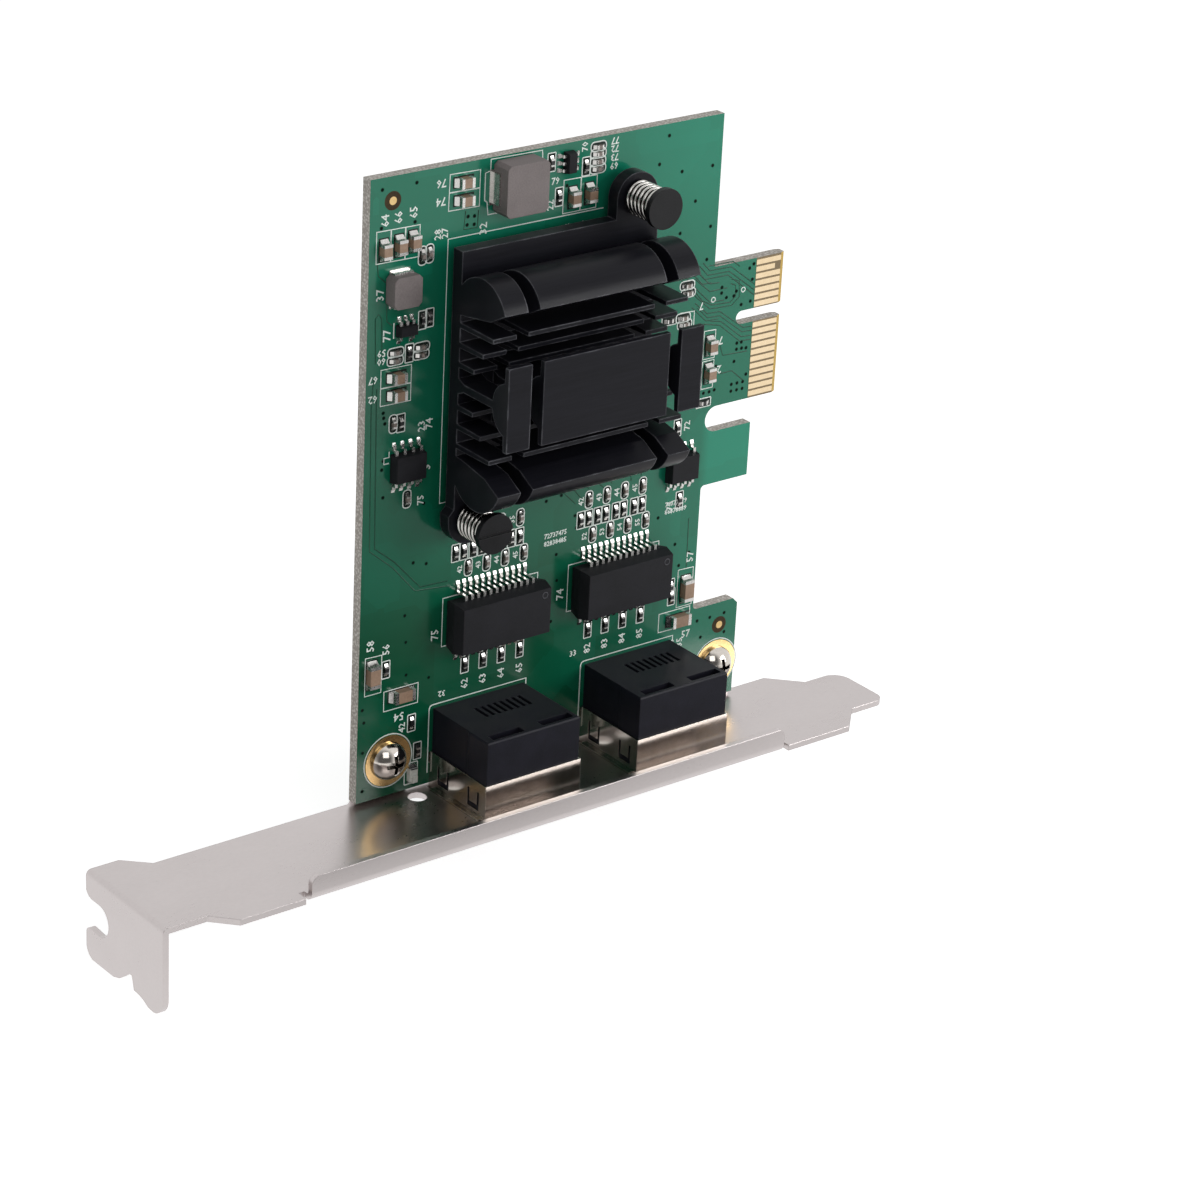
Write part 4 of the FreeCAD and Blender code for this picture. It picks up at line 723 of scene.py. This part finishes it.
class CARD_OT_printing(bpy.types.Operator):
    """Prints the white outlines and the plain position numbers"""
    bl_idname = "card.printing"
    bl_label = "White print"

    def execute(self, context):
        look = context.scene.card_board
        # screened epoxy ink: matt white, a little thin over the mask's grain
        ink = grain("screened_white_ink", "#C9D3CC", "#EDF2EE", 0.0, (0.5, 0.65), 0.12, 0.006)
        lines = []
        for points in PRINTED:
            closed = points[0] == points[-1]
            lines.append((points[:-1] if closed else points, closed))
        end, side = 0.75, 0.36
        for family, radius, steps in (("resistor", 0.08, 1), ("bypass_capacitor", 0.5, 3)):
            for low, high, along in chips(family):
                past_x, past_z = (end, side) if along else (side, end)
                lines.append((rounded(low, high, past_x, past_z, radius, steps), True))
        for low, high, _ in solids_of("port_lights"):
            lines.append((rounded(low, high, 0.4, 0.55, 0.1, 1), True))
        for centres, radius, step in ((SCREWS, SCREW_RING, 10), (RINGED_HOLES, HOLE_RING, 30)):
            turns = [math.radians(a) for a in range(0, 360, step)]
            for x, z in centres:
                lines.append(([(x + radius * math.cos(a), z + radius * math.sin(a))
                               for a in turns], True))
        ribbons("printed_outlines", lines, look.print_width / MM, PRINT_RISE, ink)
        # the numbers of each port's small parts count up along their rows
        numbers = list(NUMBERS)
        for n in range(2):
            for i, x in enumerate((-5.35, -2.35, 0.68, 3.77)):
                x += PORT_STEP * n
                numbers.append((str(62 + i + 20 * n), x + 0.1, 14.8, 1.4, 90))
                numbers.append((str(42 + i + 10 * n), x - 1.35, 31.8, 1.0, 90))
            for i, x in enumerate((-7.55, -4.5, -1.45, 1.65)):
                numbers.append((str(32 + i + 10 * n), x + PORT_STEP * n, 37.05, 1.1, 90))
            for i in range(4):
                x = 7.6 + PORT_STEP * n + 0.95 * i
                numbers.append((str(72 + i + 4 * n), x, 33.2, 0.9, 0))
                numbers.append((str(82 + i + 4 * n), x, 32.1, 0.9, 0))
        made = []
        for text, x, z, height, turn in numbers:
            select_only()
            bpy.ops.object.text_add(location=(x * MM, -DIGIT_RISE / 2 * MM, z * MM),
                                    rotation=(math.radians(90), math.radians(-turn), 0))
            body = bpy.context.object.data
            body.body = text
            body.size = height * look.number_height * FONT_SCALE * MM
            body.extrude = DIGIT_RISE / 2 * MM
            body.offset = BOLDER * MM
            body.resolution_u = 1
            body.align_x = "CENTER"
            body.align_y = "CENTER"
            bpy.ops.object.convert(target="MESH")
            made.append(bpy.context.object)
        select_only(*made)
        bpy.ops.object.join()
        hand_over(take("position_numbers"), ink, False)
        return {"FINISHED"}


class CARD_OT_soldering(bpy.types.Operator):
    """Adds the solder that joins chip ends, lead feet and jack tails to the board"""
    bl_idname = "card.soldering"
    bl_label = "Solder joints"

    def execute(self, context):
        # lead-free solder: bright with a slightly crystalline skin
        solder = grain("lead_free_solder", "#BDBBB7", "#DAD8D5", 1.0, (0.14, 0.3), 0.25, 0.01)
        # how far the solder reaches in over the ends of a chip part and the foot of a lead
        lap, toe = 0.03, 0.12
        # at both ends of a chip part: how long, what share of the part's height, how much wider
        places = []
        for family, long, share, wider in (
                ("resistor", 0.42, 0.72, 0.02), ("bypass_capacitor", 0.42, 0.72, 0.02),
                ("bulk_capacitor", 0.48, 0.5, 0.0), ("filter_capacitor", 0.48, 0.5, 0.0)):
            for low, high, along in chips(family):
                x, z = (low.x + high.x) / 2, (low.z + high.z) / 2
                if along:
                    wide = high.z - low.z + wider
                    ends = (("+x", high.x - lap, z), ("-x", low.x + lap, z))
                else:
                    wide = high.x - low.x + wider
                    ends = (("+z", x, high.z - lap), ("-z", x, low.z + lap))
                for way, end_x, end_z in ends:
                    places.append(outward(end_x, end_z, way, long, -low.y * share, wide))
        for low, high, _ in solids_of("port_lights"):
            x, wide = (low.x + high.x) / 2, high.x - low.x
            for way, z in (("+z", high.z - toe), ("-z", low.z + toe)):
                places.append(outward(x, z, way, 0.5, -low.y * 0.8, wide))
        copies(solder_fillet("fillet_pattern"), "chip_solder", places, solder)
        # at the feet of the leads, on the side that points away from the body
        foot_tall, foot_wider = 0.24, 0.16
        places = []
        for leads, bodies in (("isolation_module_leads", "isolation_modules"),
                              ("memory_chip_leads", "memory_chips"),
                              ("power_chip_leads", "power_chips")):
            centres = [(low + high) / 2 for low, high, _ in solids_of(bodies)]
            for low, high, points in solids_of(leads):
                if not any(-0.45 < p.y < 0.05 for p in points):
                    continue
                middle = (low + high) / 2
                home = min(centres, key=lambda c: (c - middle).length)
                if high.z - low.z > high.x - low.x:
                    way, z = ("+z", high.z - toe) if middle.z > home.z else ("-z", low.z + toe)
                    foot = outward(middle.x, z, way, 0.55, foot_tall, high.x - low.x + foot_wider)
                else:
                    way, x = ("+x", high.x - toe) if middle.x > home.x else ("-x", low.x + toe)
                    foot = outward(x, middle.z, way, 0.5, foot_tall, high.z - low.z + foot_wider)
                places.append(foot)
        copies(solder_fillet("foot_pattern"), "lead_solder", places, solder)
        # waisted cones round the tails of the jacks, behind the board
        select_only()
        tall = 0.75 * MM
        bpy.ops.mesh.primitive_cone_add(
            vertices=20, radius1=0.72 * MM, radius2=0.26 * MM, depth=tall,
            location=(0, tall / 2, 0), rotation=(math.radians(-90), 0, 0))
        cone = take("tail_cone")
        edit(cone, lambda centre, normal: abs(normal.y) < 0.9)
        bpy.ops.mesh.subdivide(number_cuts=1)
        edit(cone, lambda centre, normal: 0.2 * MM < centre.y < 0.5 * MM, "VERT")
        bpy.ops.transform.resize(value=(0.82, 1, 0.82))
        back = max(v.co.y for v in nodes["circuit_board"].data.vertices) / MM
        tails = [(points, 1.0) for _, _, points in solids_of("jack_contacts")]
        for low, high, points in solids_of("jack_shields"):
            for side in (low.x, high.x):
                tails.append(([p for p in points if abs(p.x - side) < 2.0], 1.7))
        places = []
        for points, width in tails:
            ends = [p for p in points if p.y > back + 0.3]
            x, z = (sum(p[axis] for p in ends) / len(ends) for axis in (0, 2))
            places.append(at(x, z, back) @ Matrix.Diagonal((width, 1, width, 1)))
        copies(cone, "rear_solder", places, solder)
        return {"FINISHED"}


class CARD_OT_stage(bpy.types.Operator):
    """Sets the pale floor, the soft lights, the room and the camera"""
    bl_idname = "card.stage"
    bl_label = "Stage"

    def execute(self, context):
        look = context.scene.card_stage
        scene = context.scene
        select_only()
        bpy.ops.mesh.primitive_plane_add(size=6.0, location=(0, 0, -0.0125))
        floor = take("floor")
        made, tree, shader = finish("white_sweep", "#F4F4F4", 0.0, 1.0, Specular_IOR_Level=0.0)
        # seen straight, the sweep is lit to white and keeps a soft shadow; seen in a gloss it is
        # dark in front of the card, which shades it, brightens over 83 mm to either side, and is
        # bright from 4 cm in front of the board backwards
        seen = add(tree, "LightPath")
        spot = add(tree, "TexCoord").outputs["Object"]
        spot = add(tree, "SeparateXYZ", {0: spot})
        away = add(tree, "Math", {0: spot.outputs[0], 1: 0.012}, operation="SUBTRACT")
        away = add(tree, "Math", {0: away.outputs[0]}, operation="ABSOLUTE")
        sides = add(tree, "MapRange",
                    {0: away.outputs[0], 1: 0.0, 2: 0.083, 3: 0.02, 4: look.table_glow})
        strip = add(tree, "MapRange", {0: spot.outputs[1], 1: -0.047, 2: -0.039, 3: 0.0, 4: 1.1})
        lit = add(tree, "Math", {0: sides.outputs[0], 1: strip.outputs[0]}, operation="MAXIMUM")
        gloss = add(tree, "Math", {0: seen.outputs["Is Glossy Ray"], 1: lit.outputs[0]},
                    operation="MULTIPLY")
        shown = add(tree, "Mix",
                    {0: seen.outputs["Is Glossy Ray"], 6: tuple(look.floor_colour) + (1,),
                     7: (0, 0, 0, 1)}, data_type="RGBA")
        tree.links.new(shown.outputs[2], shader.inputs["Base Color"])
        straight = add(tree, "Math",
                       {0: seen.outputs["Is Camera Ray"], 1: seen.outputs["Is Transmission Ray"]},
                       operation="MAXIMUM")
        to_white = 0.64
        glow = add(tree, "Math", {0: straight.outputs[0], 1: to_white, 2: gloss.outputs[0]},
                   operation="MULTIPLY_ADD")
        tree.links.new(glow.outputs[0], shader.inputs["Emission Strength"])
        shader.inputs["Emission Color"].default_value = (1, 1, 1, 1)
        floor.data.materials.append(made)

        world = bpy.data.worlds.new("light_tent")
        scene.world = world
        world.use_nodes = True
        tree = world.node_tree
        tree.nodes.clear()
        seen = add(tree, "LightPath")
        shown = seen.outputs["Is Camera Ray"]
        for kind in ("Is Glossy Ray", "Is Transmission Ray"):
            shown = add(tree, "Math", {0: shown, 1: seen.outputs[kind]},
                        operation="MAXIMUM").outputs[0]
        # the room behind the camera is unlit, so that polished metal keeps its dark reflections
        where = add(tree, "TexCoord").outputs["Generated"]
        behind = add(tree, "VectorMath", {0: where, 1: (-0.55, -0.75, 0.36)},
                     operation="DOT_PRODUCT")
        room = add(tree, "MapRange",
                   {0: behind.outputs["Value"], 1: 0.5, 2: 0.9, 3: 1.0, 4: 0.12},
                   interpolation_type="SMOOTHSTEP")
        room = add(tree, "Mix", {0: seen.outputs["Is Glossy Ray"], 2: 1.0, 3: room.outputs[0]})
        level = add(tree, "Mix", {0: shown, 2: look.sky_strength, 3: room.outputs[0]})
        sky = add(tree, "Background", {"Color": (1, 1, 1, 1), "Strength": level.outputs[0]})
        add(tree, "OutputWorld", {"Surface": sky.outputs[0]})

        aim = Vector((0.008, 0.0, 0.045))
        for name, place, size, power in (
                ("key", (-0.30, -0.55, 0.60), 0.45, look.key_power),
                ("fill", (0.32, -0.34, 0.16), 0.25, look.fill_power)):
            bpy.ops.object.light_add(type="AREA", location=place)
            lamp = bpy.context.object
            lamp.name = name
            lamp.data.energy = power
            lamp.data.size = size
            lamp.rotation_euler = (aim - Vector(place)).to_track_quat("-Z", "Y").to_euler()

        # the camera stands where the photograph's did
        bpy.ops.object.camera_add(location=(-0.28014, -0.36501, 0.23519))
        camera = bpy.context.object
        camera.name = "portrait"
        ahead = Vector((0.57523, 0.70598, -0.41316))
        up = Vector((0.21965, 0.35322, 0.90939))
        side = ahead.cross(up).normalized()
        camera.rotation_euler = Matrix((side, up, -ahead)).transposed().to_euler()
        camera.data.lens = look.lens
        camera.data.clip_start = 0.01
        scene.camera = camera
        scene.view_settings.view_transform = "Standard"
        return {"FINISHED"}


OPERATORS = (CARD_OT_laminate, CARD_OT_metalwork, CARD_OT_heat_sink, CARD_OT_jacks,
             CARD_OT_packages, CARD_OT_chip_parts, CARD_OT_etching, CARD_OT_printing,
             CARD_OT_soldering, CARD_OT_stage)


class CARD_PT_panel(bpy.types.Panel):
    """Lists the steps that dress the card"""
    bl_label = "Network Interface Card"
    bl_idname = "CARD_PT_panel"
    bl_space_type = "VIEW_3D"
    bl_region_type = "UI"
    bl_category = "Card"

    def draw(self, context):
        for group in (context.scene.card_board, context.scene.card_stage):
            for name in group.__annotations__:
                self.layout.prop(group, name)
        for one in OPERATORS:
            self.layout.operator(one.bl_idname)


CLASSES = (CardBoardLook, CardStageLook) + OPERATORS + (CARD_PT_panel,)


def register():
    for one in CLASSES:
        bpy.utils.register_class(one)
    bpy.types.Scene.card_board = bpy.props.PointerProperty(type=CardBoardLook)
    bpy.types.Scene.card_stage = bpy.props.PointerProperty(type=CardStageLook)


def unregister():
    del bpy.types.Scene.card_stage
    del bpy.types.Scene.card_board
    for one in reversed(CLASSES):
        bpy.utils.unregister_class(one)


def main():
    """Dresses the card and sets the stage."""
    register()
    bpy.ops.card.laminate()
    bpy.ops.card.metalwork()
    bpy.ops.card.heat_sink()
    bpy.ops.card.jacks()
    bpy.ops.card.packages()
    bpy.ops.card.chip_parts()
    bpy.ops.card.etching()
    bpy.ops.card.printing()
    bpy.ops.card.soldering()
    bpy.ops.card.stage()


if __name__ == "__main__":
    main()
